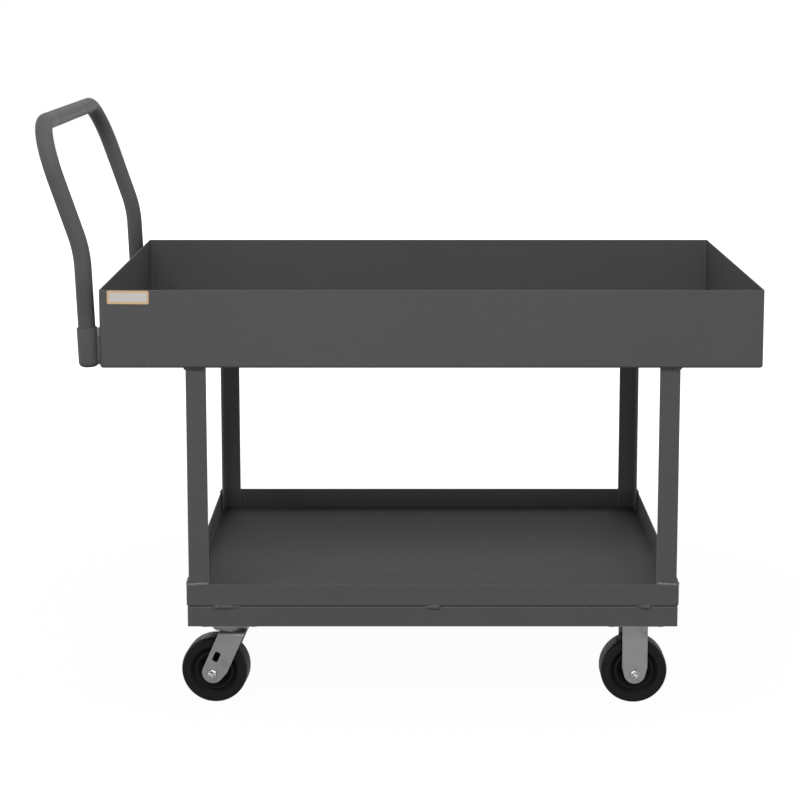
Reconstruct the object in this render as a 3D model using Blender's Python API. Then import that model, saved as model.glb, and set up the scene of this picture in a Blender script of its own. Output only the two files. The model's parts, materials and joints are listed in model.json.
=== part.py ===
"""Two-level steel platform cart: a deep tray on four angle-iron legs over a lipped lower shelf.

Two swivel casters stand under the handle end and two rigid ones under the other. A bent tube
handle lifts out of two sockets on the tray's end. Metres, +Z up, length along X, handle at -X,
origin on the floor under the centre of the whole cart.
"""

import math

import bmesh
import bpy
from mathutils import Matrix, Vector

# Clearances
SEAT = 0.0003
WELD_FIT = 0.0020
RUNNING = 0.0001
SIDE_PLAY = 0.0005
SHANK_FIT = 0.0005

# Top tray
TRAY_LENGTH = 1.2265
TRAY_DEPTH = 0.762
TRAY_TOP = 0.8080
TRAY_WALL = 0.1460
TRAY_SHIFT = -0.0027
SHEET = 0.0027
BEND = 0.0050
CORNER_SPREAD = 0.0010

# Lower shelf
SHELF_LENGTH = 0.928
SHELF_DEPTH = 0.752
SHELF_LIP = 0.0440

# Angle iron of the legs and of the base frame
LEG_SIZE = 0.0381
RAIL_SIZE = 0.0381
ANGLE_WALL = 0.0032
ANGLE_ROOT = 0.0030
ANGLE_TOE = 0.0015
RAIL_INSET = 0.0020

# Bolsters, the channels that carry the casters
BOLSTER_WIDTH = 0.1220
BOLSTER_WALL = 0.0048
BOLSTER_BEND = 0.0070
WELD_NUT_HEIGHT = 0.0080
WELD_NUT_ACROSS = 0.0160

# Handle and its sockets
HANDLE_RADIUS = 0.0160
HANDLE_WALL = 0.0021
HANDLE_TOP = 1.1105
HANDLE_KNEE = 0.8790
HANDLE_KNEE_RADIUS = 0.225
HANDLE_CORNER_RADIUS = 0.104
HANDLE_RAKE = math.radians(18.65)
SOCKET_LEAN = math.radians(2.4)
SOCKET_RADIUS = 0.0190
SOCKET_LENGTH = 0.0740
SOCKET_FLOOR = 0.0040
SOCKET_INSET = 0.0180
SOCKET_DRAIN = 0.0040
SOCKET_END_RADIUS = 0.0050
SPACER_FOOT = 0.0032
SPACER_WIDTH = 0.0160
SPACER_LENGTH = 0.0680

# Bare plate on the tray's front
PLATE_LENGTH = 0.0786
PLATE_HEIGHT = 0.0266
PLATE_THICKNESS = 0.0006
PLATE_CORNER = 0.0030
PLATE_FROM_END = 0.0147
PLATE_FROM_RIM = 0.0005

# Casters
CASTER_HEIGHT = 0.1651
CASTER_END_INSET = 0.0780
CASTER_SIDE_INSET = 0.0710
CASTER_PLATE_LENGTH = 0.1140
CASTER_PLATE_WIDTH = 0.1020
CASTER_PLATE = 0.0063
CASTER_PLATE_CORNER = 0.0080
BOLT_SPACING_X = 0.0920
BOLT_SPACING_Y = 0.0760
BOLT_RADIUS = 0.0047
BOLT_HEAD = 0.0030
BOLT_HEAD_RADIUS = 0.0090
BOLT_END = 0.0020

# Swivel bearing
TRAIL = 0.0300
SWIVEL_REST = math.radians(-5.5)
CROWN_DROP = 0.0201
RACE_RADIUS = 0.0285
BALL_RADIUS = 0.0032
BALL_COUNT = 8
RACE_GAP = 0.0032
RACE_RISE = 0.0032
RACE_EDGE = 0.0345
SKIRT_TOP = 0.0410
SKIRT_FOOT = 0.0375
SKIRT_WALL = 0.0022
SKIRT_CLEARANCE = 0.0012
CAGE_THICKNESS = 0.0016
CAGE_HALF_WIDTH = 0.0040
KINGPIN_RADIUS = 0.00635
KINGPIN_HEAD_RADIUS = 0.0110
KINGPIN_HEAD = 0.0030
KINGPIN_FOOT = 0.0050
KINGPIN_HOLE = 0.0140

# Forks
FORK_GAP = 0.0700
FORK_WALL = 0.0050
FORK_BEND = 0.0070
FORK_TIP = 0.0205
CROWN_BACK = 0.0165
CROWN_FRONT = 0.0335
FORK_HEEL_BACK = 0.0020
FORK_HEEL_RISE = 0.0010
RIGID_HALF_WIDTH = 0.0240
RIGID_TAPER_RISE = 0.0110
RIGID_PLATE_SINK = 0.0030
SLOT_LENGTH = 0.0200
SLOT_WIDTH = 0.0110
SLOT_CORNER = 0.0030
SLOT_AHEAD = 0.0074
SLOT_RISE = 0.0315

# Wheels and axles
WHEEL_RADIUS = 0.0635
WHEEL_WIDTH = 0.0508
TREAD_WIDTH = 0.0360
SHOULDER_DROP = 0.0050
FACE_INNER = 0.0455
GROOVE_INNER = 0.0370
GROOVE_DEPTH = 0.0050
RIB_INNER = 0.0335
RIB_SINK = 0.0020
RECESS_DEPTH = 0.0085
HUB_RADIUS = 0.0180
SLEEVE_RADIUS = 0.0090
AXLE_RADIUS = 0.00475
AXLE_ACROSS = 0.0150
AXLE_HEAD = 0.0064
AXLE_NUT = 0.0075
NUT_COLLAR = 0.0030
NUT_COLLAR_RADIUS = 0.0065
AXLE_END = 0.0015
THREAD_CHAMFER = 0.0010

# Roundness, in sides of a full circle and in steps of a bend
WHEEL_SIDES = 24
ROUND_SIDES = 16
RACE_SIDES = 24
HOLE_SIDES = 12
BEND_STEPS = 3
TUBE_RESOLUTION = 3
HEXAGON_SIDES = 6
BALL_SIDES = 6
BALL_ROWS = 4
SHARP_EDGE = math.radians(35)

# Places worked out from the sizes above
FRAME_BOTTOM = CASTER_HEIGHT + SEAT
SHELF_BOTTOM = FRAME_BOTTOM + RAIL_SIZE + SEAT
SHELF_FLOOR = SHELF_BOTTOM + SHEET
TRAY_BOTTOM = TRAY_TOP - TRAY_WALL
TRAY_END = TRAY_SHIFT - TRAY_LENGTH / 2
LEG_X = SHELF_LENGTH / 2 - SHEET - WELD_FIT
LEG_Y = SHELF_DEPTH / 2 - SHEET - WELD_FIT
CASTER_X = SHELF_LENGTH / 2 - CASTER_END_INSET
CASTER_Y = SHELF_DEPTH / 2 - CASTER_SIDE_INSET
PLATE_BOTTOM = CASTER_HEIGHT - CASTER_PLATE
CROWN_TOP = CASTER_HEIGHT - CROWN_DROP
RACE_TOP = CROWN_TOP + RACE_RISE
BALL_HEIGHT = RACE_TOP + RACE_GAP / 2
FORK_HALF = FORK_GAP / 2 + FORK_WALL
SOCKET_OUT = SOCKET_RADIUS + SPACER_FOOT
SOCKET_Y = TRAY_DEPTH / 2 - SOCKET_INSET
KNEE_OUT = SOCKET_OUT + (HANDLE_KNEE - TRAY_BOTTOM) * math.tan(SOCKET_LEAN)
HANDLE_OUT = KNEE_OUT + (HANDLE_TOP - HANDLE_KNEE) * math.tan(HANDLE_RAKE)
CART_X = (HANDLE_OUT + HANDLE_RADIUS) / 2 - TRAY_SHIFT


def clear_scene():
    for thing in list(bpy.data.objects):
        bpy.data.objects.remove(thing)


def material(name, colour, roughness, metallic):
    made = bpy.data.materials.new(name)
    made.use_nodes = True
    shader = made.node_tree.nodes["Principled BSDF"]
    shader.inputs["Base Color"].default_value = (*colour, 1.0)
    shader.inputs["Roughness"].default_value = roughness
    shader.inputs["Metallic"].default_value = metallic
    return made


def empty(name, location, parent=None, rotation=(0.0, 0.0, 0.0)):
    made = bpy.data.objects.new(name, None)
    bpy.context.scene.collection.objects.link(made)
    made.location = location
    made.rotation_euler = rotation
    made.parent = parent
    return made


def solid(name, bm, finish, parent, location=(0.0, 0.0, 0.0), rotation=(0.0, 0.0, 0.0), smooth=False):
    """Puts a bmesh in the scene as a named piece with its faces pointing out."""
    bm.normal_update()
    bmesh.ops.recalc_face_normals(bm, faces=bm.faces)
    mesh = bpy.data.meshes.new(name)
    bm.to_mesh(mesh)
    bm.free()
    mesh.materials.append(finish)
    if smooth:
        mesh.shade_smooth()
        mesh.set_sharp_from_angle(angle=SHARP_EDGE)
    made = bpy.data.objects.new(name, mesh)
    bpy.context.scene.collection.objects.link(made)
    made.location = location
    made.rotation_euler = rotation
    made.parent = parent
    return made


def combine(target, tool, operation):
    """Joins, cuts or trims a piece with another, which stays in the scene as a hidden guide."""
    tool.hide_render = True
    tool.display_type = "WIRE"
    step = target.modifiers.new(tool.name, "BOOLEAN")
    step.operation = operation
    step.object = tool
    step.solver = "EXACT"


def fillet(before, corner, after, radius, steps):
    """The points of the arc that rounds a corner, in two or three dimensions."""
    if radius <= 0.0:
        return [corner.copy()]
    back = (before - corner).normalized()
    ahead = (after - corner).normalized()
    half = back.angle(ahead) / 2
    centre = corner + (back + ahead).normalized() * (radius / math.sin(half))
    first = corner + back * (radius / math.tan(half)) - centre
    last = corner + ahead * (radius / math.tan(half)) - centre
    sweep = math.pi - 2 * half
    points = []
    for step in range(steps + 1):
        angle = sweep * step / steps
        arm = first * math.sin(sweep - angle) + last * math.sin(angle)
        points.append(centre + arm / math.sin(sweep))
    return points


def outline(corners, steps=BEND_STEPS):
    """A closed flat outline from (x, y, radius) corners."""
    places = [Vector((x, y)) for x, y, _ in corners]
    points = []
    for index, (_, _, radius) in enumerate(corners):
        after = places[(index + 1) % len(places)]
        points += fillet(places[index - 1], places[index], after, radius, steps)
    return points


def rectangle(half_x, half_y, radius):
    signs = ((-1, -1), (1, -1), (1, 1), (-1, 1))
    return outline([(x * half_x, y * half_y, radius) for x, y in signs])


def circle(radius, sides=HOLE_SIDES, turn=0.0):
    """A circle whose flats are at the radius, so that a hole is never smaller than it says."""
    corner = radius / math.cos(math.pi / sides)
    angles = [turn + 2 * math.pi * side / sides for side in range(sides)]
    return [Vector((corner * math.cos(angle), corner * math.sin(angle))) for angle in angles]


def hexagon(across):
    """Twelve points round a hexagon: its corners and the middles of its flats."""
    points = []
    for side in range(HOLE_SIDES):
        angle = 2 * math.pi * side / HOLE_SIDES
        reach = across / 2 / (math.cos(math.pi / HEXAGON_SIDES) if side % 2 else 1.0)
        points.append((reach * math.cos(angle), reach * math.sin(angle)))
    return points


def ring(radius):
    """Twelve points round a shank, inside its radius."""
    angles = [2 * math.pi * side / HOLE_SIDES for side in range(HOLE_SIDES)]
    return [(radius * math.cos(angle), radius * math.sin(angle)) for angle in angles]


def add_prism(bm, points, low, high, matrix=None):
    """Extrudes a flat outline from one height to another, then places it."""
    corners = [bm.verts.new((point[0], point[1], low)) for point in points]
    foot = bm.faces.new(corners)
    grown = bmesh.ops.extrude_face_region(bm, geom=[foot], use_keep_orig=True)
    lifted = [item for item in grown["geom"] if isinstance(item, bmesh.types.BMVert)]
    bmesh.ops.translate(bm, verts=lifted, vec=(0.0, 0.0, high - low))
    if matrix is not None:
        bmesh.ops.transform(bm, matrix=matrix, verts=corners + lifted)


def prism(points, low, high, matrix=None):
    bm = bmesh.new()
    add_prism(bm, points, low, high, matrix)
    return bm


def along_x():
    """Turns an outline drawn in Y and Z so that it extrudes along X."""
    return Matrix(((0, 0, 1, 0), (1, 0, 0, 0), (0, 1, 0, 0), (0, 0, 0, 1)))


def along_y():
    """Turns an outline drawn in X and Z so that it extrudes along Y."""
    return Matrix(((1, 0, 0, 0), (0, 0, 1, 0), (0, 1, 0, 0), (0, 0, 0, 1)))


def add_turned(bm, profile, sides=ROUND_SIDES):
    """Spins a closed (radius, height) profile round Z, with its flats at the radii."""
    half_step = math.pi / sides
    out = Vector((math.cos(half_step), math.sin(half_step), 0.0)) / math.cos(half_step)
    points = [bm.verts.new(out * radius + Vector((0.0, 0.0, height))) for radius, height in profile]
    edges = [bm.edges.new((points[index - 1], points[index])) for index in range(len(points))]
    bmesh.ops.spin(
        bm,
        geom=points + edges,
        cent=(0.0, 0.0, 0.0),
        axis=(0.0, 0.0, 1.0),
        angle=2 * math.pi,
        steps=sides,
        use_merge=True,
    )


def turned(profile, sides=ROUND_SIDES):
    bm = bmesh.new()
    add_turned(bm, profile, sides)
    return bm


def stacked(rings):
    """A solid from rings of twelve points at rising heights, closed at both ends."""
    bm = bmesh.new()
    rows = []
    for points, height in rings:
        rows.append([bm.verts.new((x, y, height)) for x, y in points])
    for lower, upper in zip(rows, rows[1:]):
        for side in range(HOLE_SIDES):
            bm.faces.new((lower[side - 1], lower[side], upper[side], upper[side - 1]))
    bm.faces.new(reversed(rows[0]))
    bm.faces.new(rows[-1])
    return bm


def top_face(bm):
    return max(bm.faces, key=lambda face: face.calc_center_median().z)


def pan(name, length, depth, middle, bottom, wall):
    """A folded sheet pan, open on top, its upright corners a little rounder than its bends."""
    bm = bmesh.new()
    bmesh.ops.create_cube(bm, size=1.0, matrix=Matrix.Diagonal((length, depth, wall, 1.0)))
    uprights = [edge for edge in bm.edges if edge.verts[0].co.z * edge.verts[1].co.z < 0]
    corner = BEND + CORNER_SPREAD
    bmesh.ops.bevel(bm, geom=uprights, offset=corner, segments=BEND_STEPS, profile=0.5, affect="EDGES")
    foot = min(bm.faces, key=lambda face: face.calc_center_median().z).edges
    bmesh.ops.bevel(bm, geom=list(foot), offset=BEND, segments=BEND_STEPS, profile=0.5, affect="EDGES")
    mouth = top_face(bm)
    bmesh.ops.inset_individual(bm, faces=[mouth], thickness=SHEET, use_even_offset=True)
    floor = bmesh.ops.extrude_discrete_faces(bm, faces=[mouth])["faces"][0]
    bmesh.ops.translate(bm, verts=floor.verts, vec=(0.0, 0.0, SHEET - wall))
    bmesh.ops.bevel(
        bm, geom=list(floor.edges), offset=BEND - SHEET, segments=BEND_STEPS, profile=0.5, affect="EDGES"
    )
    return solid(name, bm, PAINT, cart, (middle, 0.0, bottom + wall / 2))


def angle_section(size):
    """The L of an angle iron, its heel at the origin and its legs along +X and +Y."""
    return outline(
        [
            (0.0, 0.0, 0.0),
            (size, 0.0, 0.0),
            (size, ANGLE_WALL, ANGLE_TOE),
            (ANGLE_WALL, ANGLE_WALL, ANGLE_ROOT),
            (ANGLE_WALL, size, ANGLE_TOE),
            (0.0, size, 0.0),
        ]
    )


def leg(name, side_x, side_y, parent):
    """An upright angle iron, heel outwards in the shelf's corner, from the shelf up to the tray."""
    section = [(-side_x * point.x, -side_y * point.y) for point in angle_section(LEG_SIZE)]
    bm = prism(section, SHELF_FLOOR + SEAT, TRAY_BOTTOM - SEAT)
    return solid(name, bm, PAINT, parent, (side_x * LEG_X, side_y * LEG_Y, 0.0))


def rail(name, length, out, turn, parent):
    """A side of the base frame: one leg hangs at the outside, the other lies under the shelf."""
    bm = prism([(point.x, -point.y) for point in angle_section(RAIL_SIZE)], -length / 2, length / 2)
    for vert in bm.verts:
        inward, down, along = vert.co
        mitre = math.copysign(length / 2 - inward - SEAT, along)
        vert.co = (mitre, inward, down)
    place = Matrix.Rotation(turn, 4, "Z") @ Vector((0.0, -out, SHELF_BOTTOM - SEAT))
    return solid(name, bm, PAINT, parent, place, (0.0, 0.0, turn))


def bolt_places():
    """The four bolt holes of a caster's plate, from its middle."""
    return [(x * BOLT_SPACING_X / 2, y * BOLT_SPACING_Y / 2) for y in (-1, 1) for x in (-1, 1)]


def shifted(points, x, y):
    return [(point[0] + x, point[1] + y) for point in points]


def drill(target, name, holes, low, high, parent):
    """Cuts round holes, given as (x, y, radius), straight down through a piece."""
    bm = bmesh.new()
    for x, y, radius in holes:
        add_prism(bm, shifted(circle(radius), x, y), low, high)
    combine(target, solid(name, bm, ZINC, parent), "DIFFERENCE")


def bolster(name, side_x, swivel, parent):
    """A channel from front to rear under the shelf, with the casters' nuts welded inside it."""
    high = RAIL_SIZE - ANGLE_WALL - SEAT
    half = BOLSTER_WIDTH / 2
    inner = BOLSTER_BEND - BOLSTER_WALL
    section = outline(
        [
            (-half, high, 0.0),
            (-half, 0.0, BOLSTER_BEND),
            (half, 0.0, BOLSTER_BEND),
            (half, high, 0.0),
            (half - BOLSTER_WALL, high, 0.0),
            (half - BOLSTER_WALL, BOLSTER_WALL, inner),
            (BOLSTER_WALL - half, BOLSTER_WALL, inner),
            (BOLSTER_WALL - half, high, 0.0),
        ]
    )
    reach = SHELF_DEPTH / 2 - RAIL_INSET - ANGLE_WALL - ANGLE_ROOT - SEAT
    centre = empty(name + "_centre", (side_x * CASTER_X, 0.0, FRAME_BOTTOM), parent)
    made = solid(name, prism(section, -reach, reach, along_y()), PAINT, centre)
    nut = circle(WELD_NUT_ACROSS / 2, HEXAGON_SIDES)
    nut_top = BOLSTER_WALL + WELD_NUT_HEIGHT
    nuts = bmesh.new()
    holes = []
    for side_y in (-1, 1):
        for x, y in bolt_places():
            nut_y = y + side_y * CASTER_Y
            add_prism(nuts, shifted(nut, x, nut_y), BOLSTER_WALL / 2, nut_top)
            holes.append((x, nut_y, BOLT_RADIUS + SEAT))
        if swivel:
            holes.append((0.0, side_y * CASTER_Y, KINGPIN_HOLE))
    combine(made, solid(name + "_nuts", nuts, ZINC, centre), "UNION")
    drill(made, name + "_holes", holes, -BOLSTER_WALL, RAIL_SIZE, centre)
    return made


def handle(parent):
    """A round tube bent into a U, raked back above a knee, with open ends down in the sockets."""
    foot = SOCKET_FLOOR + SEAT
    corners = [
        (SOCKET_OUT + foot * math.tan(SOCKET_LEAN), TRAY_BOTTOM + foot, 0.0),
        (KNEE_OUT, HANDLE_KNEE, HANDLE_KNEE_RADIUS),
        (HANDLE_OUT, HANDLE_TOP, HANDLE_CORNER_RADIUS),
    ]
    near = [(Vector((TRAY_END - out, -SOCKET_Y, height)), radius) for out, height, radius in corners]
    far = [(Vector((place.x, -place.y, place.z)), radius) for place, radius in reversed(near)]
    stops = near + far
    path = [stops[0][0]]
    for index in range(1, len(stops) - 1):
        steps = 2 * BEND_STEPS + 1 if stops[index][1] == HANDLE_CORNER_RADIUS else BEND_STEPS
        path += fillet(stops[index - 1][0], stops[index][0], stops[index + 1][0], stops[index][1], steps)
    path.append(stops[-1][0])
    curve = bpy.data.curves.new("push_handle", "CURVE")
    curve.dimensions = "3D"
    curve.bevel_depth = HANDLE_RADIUS
    curve.bevel_resolution = TUBE_RESOLUTION
    spline = curve.splines.new("POLY")
    spline.points.add(len(path) - 1)
    for point, place in zip(spline.points, path):
        point.co = (*place, 1.0)
    curve.materials.append(PAINT)
    made = bpy.data.objects.new("push_handle", curve)
    bpy.context.scene.collection.objects.link(made)
    made.parent = parent
    tube = made.modifiers.new("tube_wall", "SOLIDIFY")
    tube.thickness = HANDLE_WALL
    tube.offset = -1.0
    return made


def socket(name, side_y, parent):
    """A cup welded to the tray's end, leaning out a little, with a drain hole in its floor."""
    bore = HANDLE_RADIUS + SEAT
    corner = fillet(
        Vector((SOCKET_DRAIN, 0.0)),
        Vector((SOCKET_RADIUS, 0.0)),
        Vector((SOCKET_RADIUS, SOCKET_LENGTH)),
        SOCKET_END_RADIUS,
        BEND_STEPS,
    )
    profile = [(SOCKET_DRAIN, 0.0)] + [tuple(point) for point in corner]
    profile += [(SOCKET_RADIUS, SOCKET_LENGTH), (bore, SOCKET_LENGTH), (bore, SOCKET_FLOOR)]
    profile.append((SOCKET_DRAIN, SOCKET_FLOOR))
    foot = (TRAY_END - SOCKET_OUT, side_y * SOCKET_Y, TRAY_BOTTOM)
    return solid(name, turned(profile), PAINT, parent, foot, (0.0, -SOCKET_LEAN, 0.0), smooth=True)


def spacer(name, side_y, parent):
    """The wedge that fills the gap between a leaning socket and the upright end of the tray."""
    low = BEND
    high = low + SPACER_LENGTH
    lean = math.tan(SOCKET_LEAN)
    reach = SOCKET_OUT - SOCKET_RADIUS / math.cos(SOCKET_LEAN) - SEAT
    points = [(-SEAT, low), (-SEAT, high), (-reach - high * lean, high), (-reach - low * lean, low)]
    bm = prism(points, -SPACER_WIDTH / 2, SPACER_WIDTH / 2, along_y())
    place = (TRAY_END, side_y * SOCKET_Y, TRAY_BOTTOM)
    return solid(name, bm, PAINT, parent, place)


def name_plate(parent):
    """The plain plate at the front's top left corner."""
    points = rectangle(PLATE_LENGTH / 2, PLATE_HEIGHT / 2, PLATE_CORNER)
    bm = prism(points, SEAT, SEAT + PLATE_THICKNESS)
    x = TRAY_END + PLATE_FROM_END + PLATE_LENGTH / 2
    z = TRAY_TOP - PLATE_FROM_RIM - PLATE_HEIGHT / 2
    return solid("name_plate", bm, PLATE, parent, (x, -TRAY_DEPTH / 2, z), (math.pi / 2, 0.0, 0.0))


def shank(radius, length):
    """The rings of a bolt's shank, from its head up to a chamfered end."""
    return [
        (ring(radius), 0.0),
        (ring(radius), length - THREAD_CHAMFER),
        (ring(radius - THREAD_CHAMFER), length),
    ]


def plate_bolts(place, parent):
    """The four round-headed bolts that hold a caster's plate up against the bolster."""
    length = CASTER_PLATE + 2 * SEAT + BOLSTER_WALL + WELD_NUT_HEIGHT + BOLT_END
    head = []
    for step in reversed(range(BEND_STEPS)):
        angle = step * math.pi / 2 / BEND_STEPS
        head.append((ring(BOLT_HEAD_RADIUS * math.cos(angle)), -BOLT_HEAD * math.sin(angle)))
    for number, (x, y) in enumerate(bolt_places(), 1):
        bm = stacked(head + shank(BOLT_RADIUS, length))
        solid(f"plate_bolt_{place}_{number}", bm, ZINC, parent, (x, y, PLATE_BOTTOM - SEAT))


def plate_outline():
    return rectangle(CASTER_PLATE_LENGTH / 2, CASTER_PLATE_WIDTH / 2, CASTER_PLATE_CORNER)


def plate_holes():
    return [(x, y, BOLT_RADIUS + SHANK_FIT) for x, y in bolt_places()]


def groove(height, upward):
    """The half-round ball track, as (radius, height) points from the inside out."""
    track = BALL_RADIUS + SEAT
    depth = RACE_GAP / 2
    half = math.sqrt(track * track - depth * depth)
    lowest = math.atan2(depth, half)
    points = []
    for step in range(BEND_STEPS + 1):
        angle = math.pi - lowest - (math.pi - 2 * lowest) * step / BEND_STEPS
        points.append((RACE_RADIUS + track * math.cos(angle), height + upward * track * math.sin(angle)))
    return points


def swivel_plate(place, parent):
    """The fixed top half of a swivel bearing: a bolted plate with a ball track and a skirt under it."""
    made = solid(f"swivel_plate_{place}", prism(plate_outline(), PLATE_BOTTOM, CASTER_HEIGHT), ZINC, parent)
    bore = KINGPIN_RADIUS + SEAT
    inside = SKIRT_FOOT - SKIRT_WALL
    race = BALL_HEIGHT + RACE_GAP / 2
    sunk = PLATE_BOTTOM + CASTER_PLATE / 2
    profile = [(bore, sunk), (bore, race)] + groove(BALL_HEIGHT, 1)
    profile += [(inside, race), (inside, CROWN_TOP + SKIRT_CLEARANCE)]
    profile += [(SKIRT_FOOT, CROWN_TOP + SKIRT_CLEARANCE), (SKIRT_TOP, PLATE_BOTTOM), (SKIRT_TOP, sunk)]
    combine(made, solid(f"skirt_{place}", turned(profile, RACE_SIDES), ZINC, parent), "UNION")
    holes = plate_holes() + [(0.0, 0.0, bore)]
    drill(made, f"swivel_plate_{place}_holes", holes, RACE_TOP, CASTER_HEIGHT + CASTER_PLATE, parent)
    return made


def kingpin(place, parent):
    """The rivet that holds the fork up under its plate."""
    foot = CROWN_TOP - FORK_WALL - SEAT
    head = CASTER_HEIGHT + SEAT
    bm = stacked(
        [
            (ring(KINGPIN_HEAD_RADIUS - KINGPIN_HEAD / 2), foot - KINGPIN_FOOT),
            (ring(KINGPIN_HEAD_RADIUS), foot - KINGPIN_HEAD),
            (ring(KINGPIN_HEAD_RADIUS), foot),
            (ring(KINGPIN_RADIUS), foot),
            (ring(KINGPIN_RADIUS), head),
            (ring(KINGPIN_HEAD_RADIUS), head),
            (ring(KINGPIN_HEAD_RADIUS), head + KINGPIN_HEAD / 2),
            (ring(KINGPIN_HEAD_RADIUS - KINGPIN_HEAD / 2), head + KINGPIN_HEAD),
        ]
    )
    return solid(f"kingpin_{place}", bm, ZINC, parent, smooth=True)


def ball_ring(place, parent):
    """The bearing's balls, held by their flat cage."""
    half = CAGE_THICKNESS / 2
    inner = RACE_RADIUS - CAGE_HALF_WIDTH
    outer = RACE_RADIUS + CAGE_HALF_WIDTH
    cage = [(inner, -half), (outer, -half), (outer, half), (inner, half)]
    bm = turned(cage, RACE_SIDES)
    made = solid(f"ball_ring_{place}", bm, ZINC, parent, (0.0, 0.0, BALL_HEIGHT), smooth=True)
    balls = bmesh.new()
    for number in range(BALL_COUNT):
        angle = 2 * math.pi * number / BALL_COUNT
        middle = Vector((RACE_RADIUS * math.cos(angle), RACE_RADIUS * math.sin(angle), 0.0))
        bmesh.ops.create_uvsphere(
            balls,
            u_segments=BALL_SIDES,
            v_segments=BALL_ROWS,
            radius=BALL_RADIUS,
            matrix=Matrix.Translation(middle),
        )
    combine(made, solid(f"balls_{place}", balls, ZINC, parent, (0.0, 0.0, BALL_HEIGHT)), "UNION")
    return made


def tangent_angle(point, side):
    """Where a line from this point touches the fork's round tip, as an angle round the axle."""
    reach = math.hypot(*point)
    return math.atan2(point[1], point[0]) % (2 * math.pi) + side * math.acos(FORK_TIP / reach)


def fork_side(back, front):
    """A fork's side view round the axle: down its back edge, round the tip, up its front edge."""
    first = tangent_angle(back[-1], 1)
    last = tangent_angle(front[-1], -1) + 2 * math.pi
    steps = 4 * BEND_STEPS
    tip = []
    for step in range(steps + 1):
        angle = first + (last - first) * step / steps
        tip.append((FORK_TIP * math.cos(angle), FORK_TIP * math.sin(angle)))
    return back + tip + front[::-1]


def fork_body(name, side, axle_x, top, parent):
    """A bent strap, crown and two legs, trimmed to its side view."""
    foot = WHEEL_RADIUS - 2 * FORK_TIP
    half = FORK_HALF
    inner = FORK_BEND - FORK_WALL
    section = outline(
        [
            (-half, foot, 0.0),
            (-half, top, FORK_BEND),
            (half, top, FORK_BEND),
            (half, foot, 0.0),
            (half - FORK_WALL, foot, 0.0),
            (half - FORK_WALL, top - FORK_WALL, inner),
            (FORK_WALL - half, top - FORK_WALL, inner),
            (FORK_WALL - half, foot, 0.0),
        ]
    )
    long = 4 * FORK_TIP + TRAIL
    made = solid(name, prism(section, -long, long, along_x()), ZINC, parent)
    across = prism(side, -2 * half, 2 * half, along_y())
    combine(made, solid(name + "_side", across, ZINC, parent, (axle_x, 0.0, WHEEL_RADIUS)), "INTERSECT")
    return made


def cut_axle_hole(target, name, axle_x, parent):
    bm = prism(circle(AXLE_RADIUS + SEAT), -2 * FORK_HALF, 2 * FORK_HALF, along_y())
    combine(target, solid(name, bm, ZINC, parent, (axle_x, 0.0, WHEEL_RADIUS)), "DIFFERENCE")


def swivel_fork(place, parent):
    """A raked fork with the lower ball track on its crown and a slot through each leg."""
    name = f"swivel_fork_{place}"
    rise = CROWN_TOP - WHEEL_RADIUS
    over = rise + FORK_WALL
    slope = (CROWN_FRONT + FORK_HEEL_BACK) / (rise - FORK_HEEL_RISE)
    heel = (TRAIL - FORK_HEEL_BACK, FORK_HEEL_RISE)
    back = [(TRAIL - CROWN_BACK + FORK_WALL * slope, over)]
    front = [(TRAIL + CROWN_FRONT + FORK_WALL * slope, over), heel]
    made = fork_body(name, fork_side(back, front), -TRAIL, CROWN_TOP, parent)
    bore = KINGPIN_RADIUS + RUNNING
    crown = CROWN_TOP - FORK_WALL
    profile = [(bore, RACE_TOP), (bore, crown), (RACE_EDGE, crown), (RACE_EDGE, RACE_TOP)]
    profile += groove(BALL_HEIGHT, -1)[::-1]
    combine(made, solid(f"race_{place}", turned(profile, RACE_SIDES), ZINC, parent), "UNION")
    low = crown - FORK_WALL
    drill(made, f"kingpin_hole_{place}", [(0.0, 0.0, bore)], low, RACE_TOP + FORK_WALL, parent)
    cut_axle_hole(made, f"axle_hole_{place}_left", -TRAIL, parent)
    slot = prism(rectangle(SLOT_WIDTH / 2, SLOT_LENGTH / 2, SLOT_CORNER), -2 * FORK_HALF, 2 * FORK_HALF)
    bmesh.ops.rotate(slot, verts=slot.verts, matrix=Matrix.Rotation(-math.atan(slope), 3, "Z"))
    bmesh.ops.transform(slot, matrix=along_y(), verts=slot.verts)
    middle = (SLOT_AHEAD - TRAIL, 0.0, WHEEL_RADIUS + SLOT_RISE)
    combine(made, solid(f"slot_{place}", slot, ZINC, parent, middle), "DIFFERENCE")
    return made


def rigid_fork(place, parent):
    """A straight fork welded to its own bolted plate."""
    name = f"rigid_fork_{place}"
    over = PLATE_BOTTOM + CASTER_PLATE - WHEEL_RADIUS
    back = [(-RIGID_HALF_WIDTH, over), (-RIGID_HALF_WIDTH, RIGID_TAPER_RISE)]
    front = [(RIGID_HALF_WIDTH, over), (RIGID_HALF_WIDTH, RIGID_TAPER_RISE)]
    made = fork_body(name, fork_side(back, front), 0.0, PLATE_BOTTOM + RIGID_PLATE_SINK, parent)
    plate = solid(name + "_plate", prism(plate_outline(), PLATE_BOTTOM, CASTER_HEIGHT), ZINC, parent)
    combine(made, plate, "UNION")
    drill(made, name + "_holes", plate_holes(), PLATE_BOTTOM - FORK_WALL, CASTER_HEIGHT + FORK_WALL, parent)
    cut_axle_hole(made, f"axle_hole_{place}_right", 0.0, parent)
    return made


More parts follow.
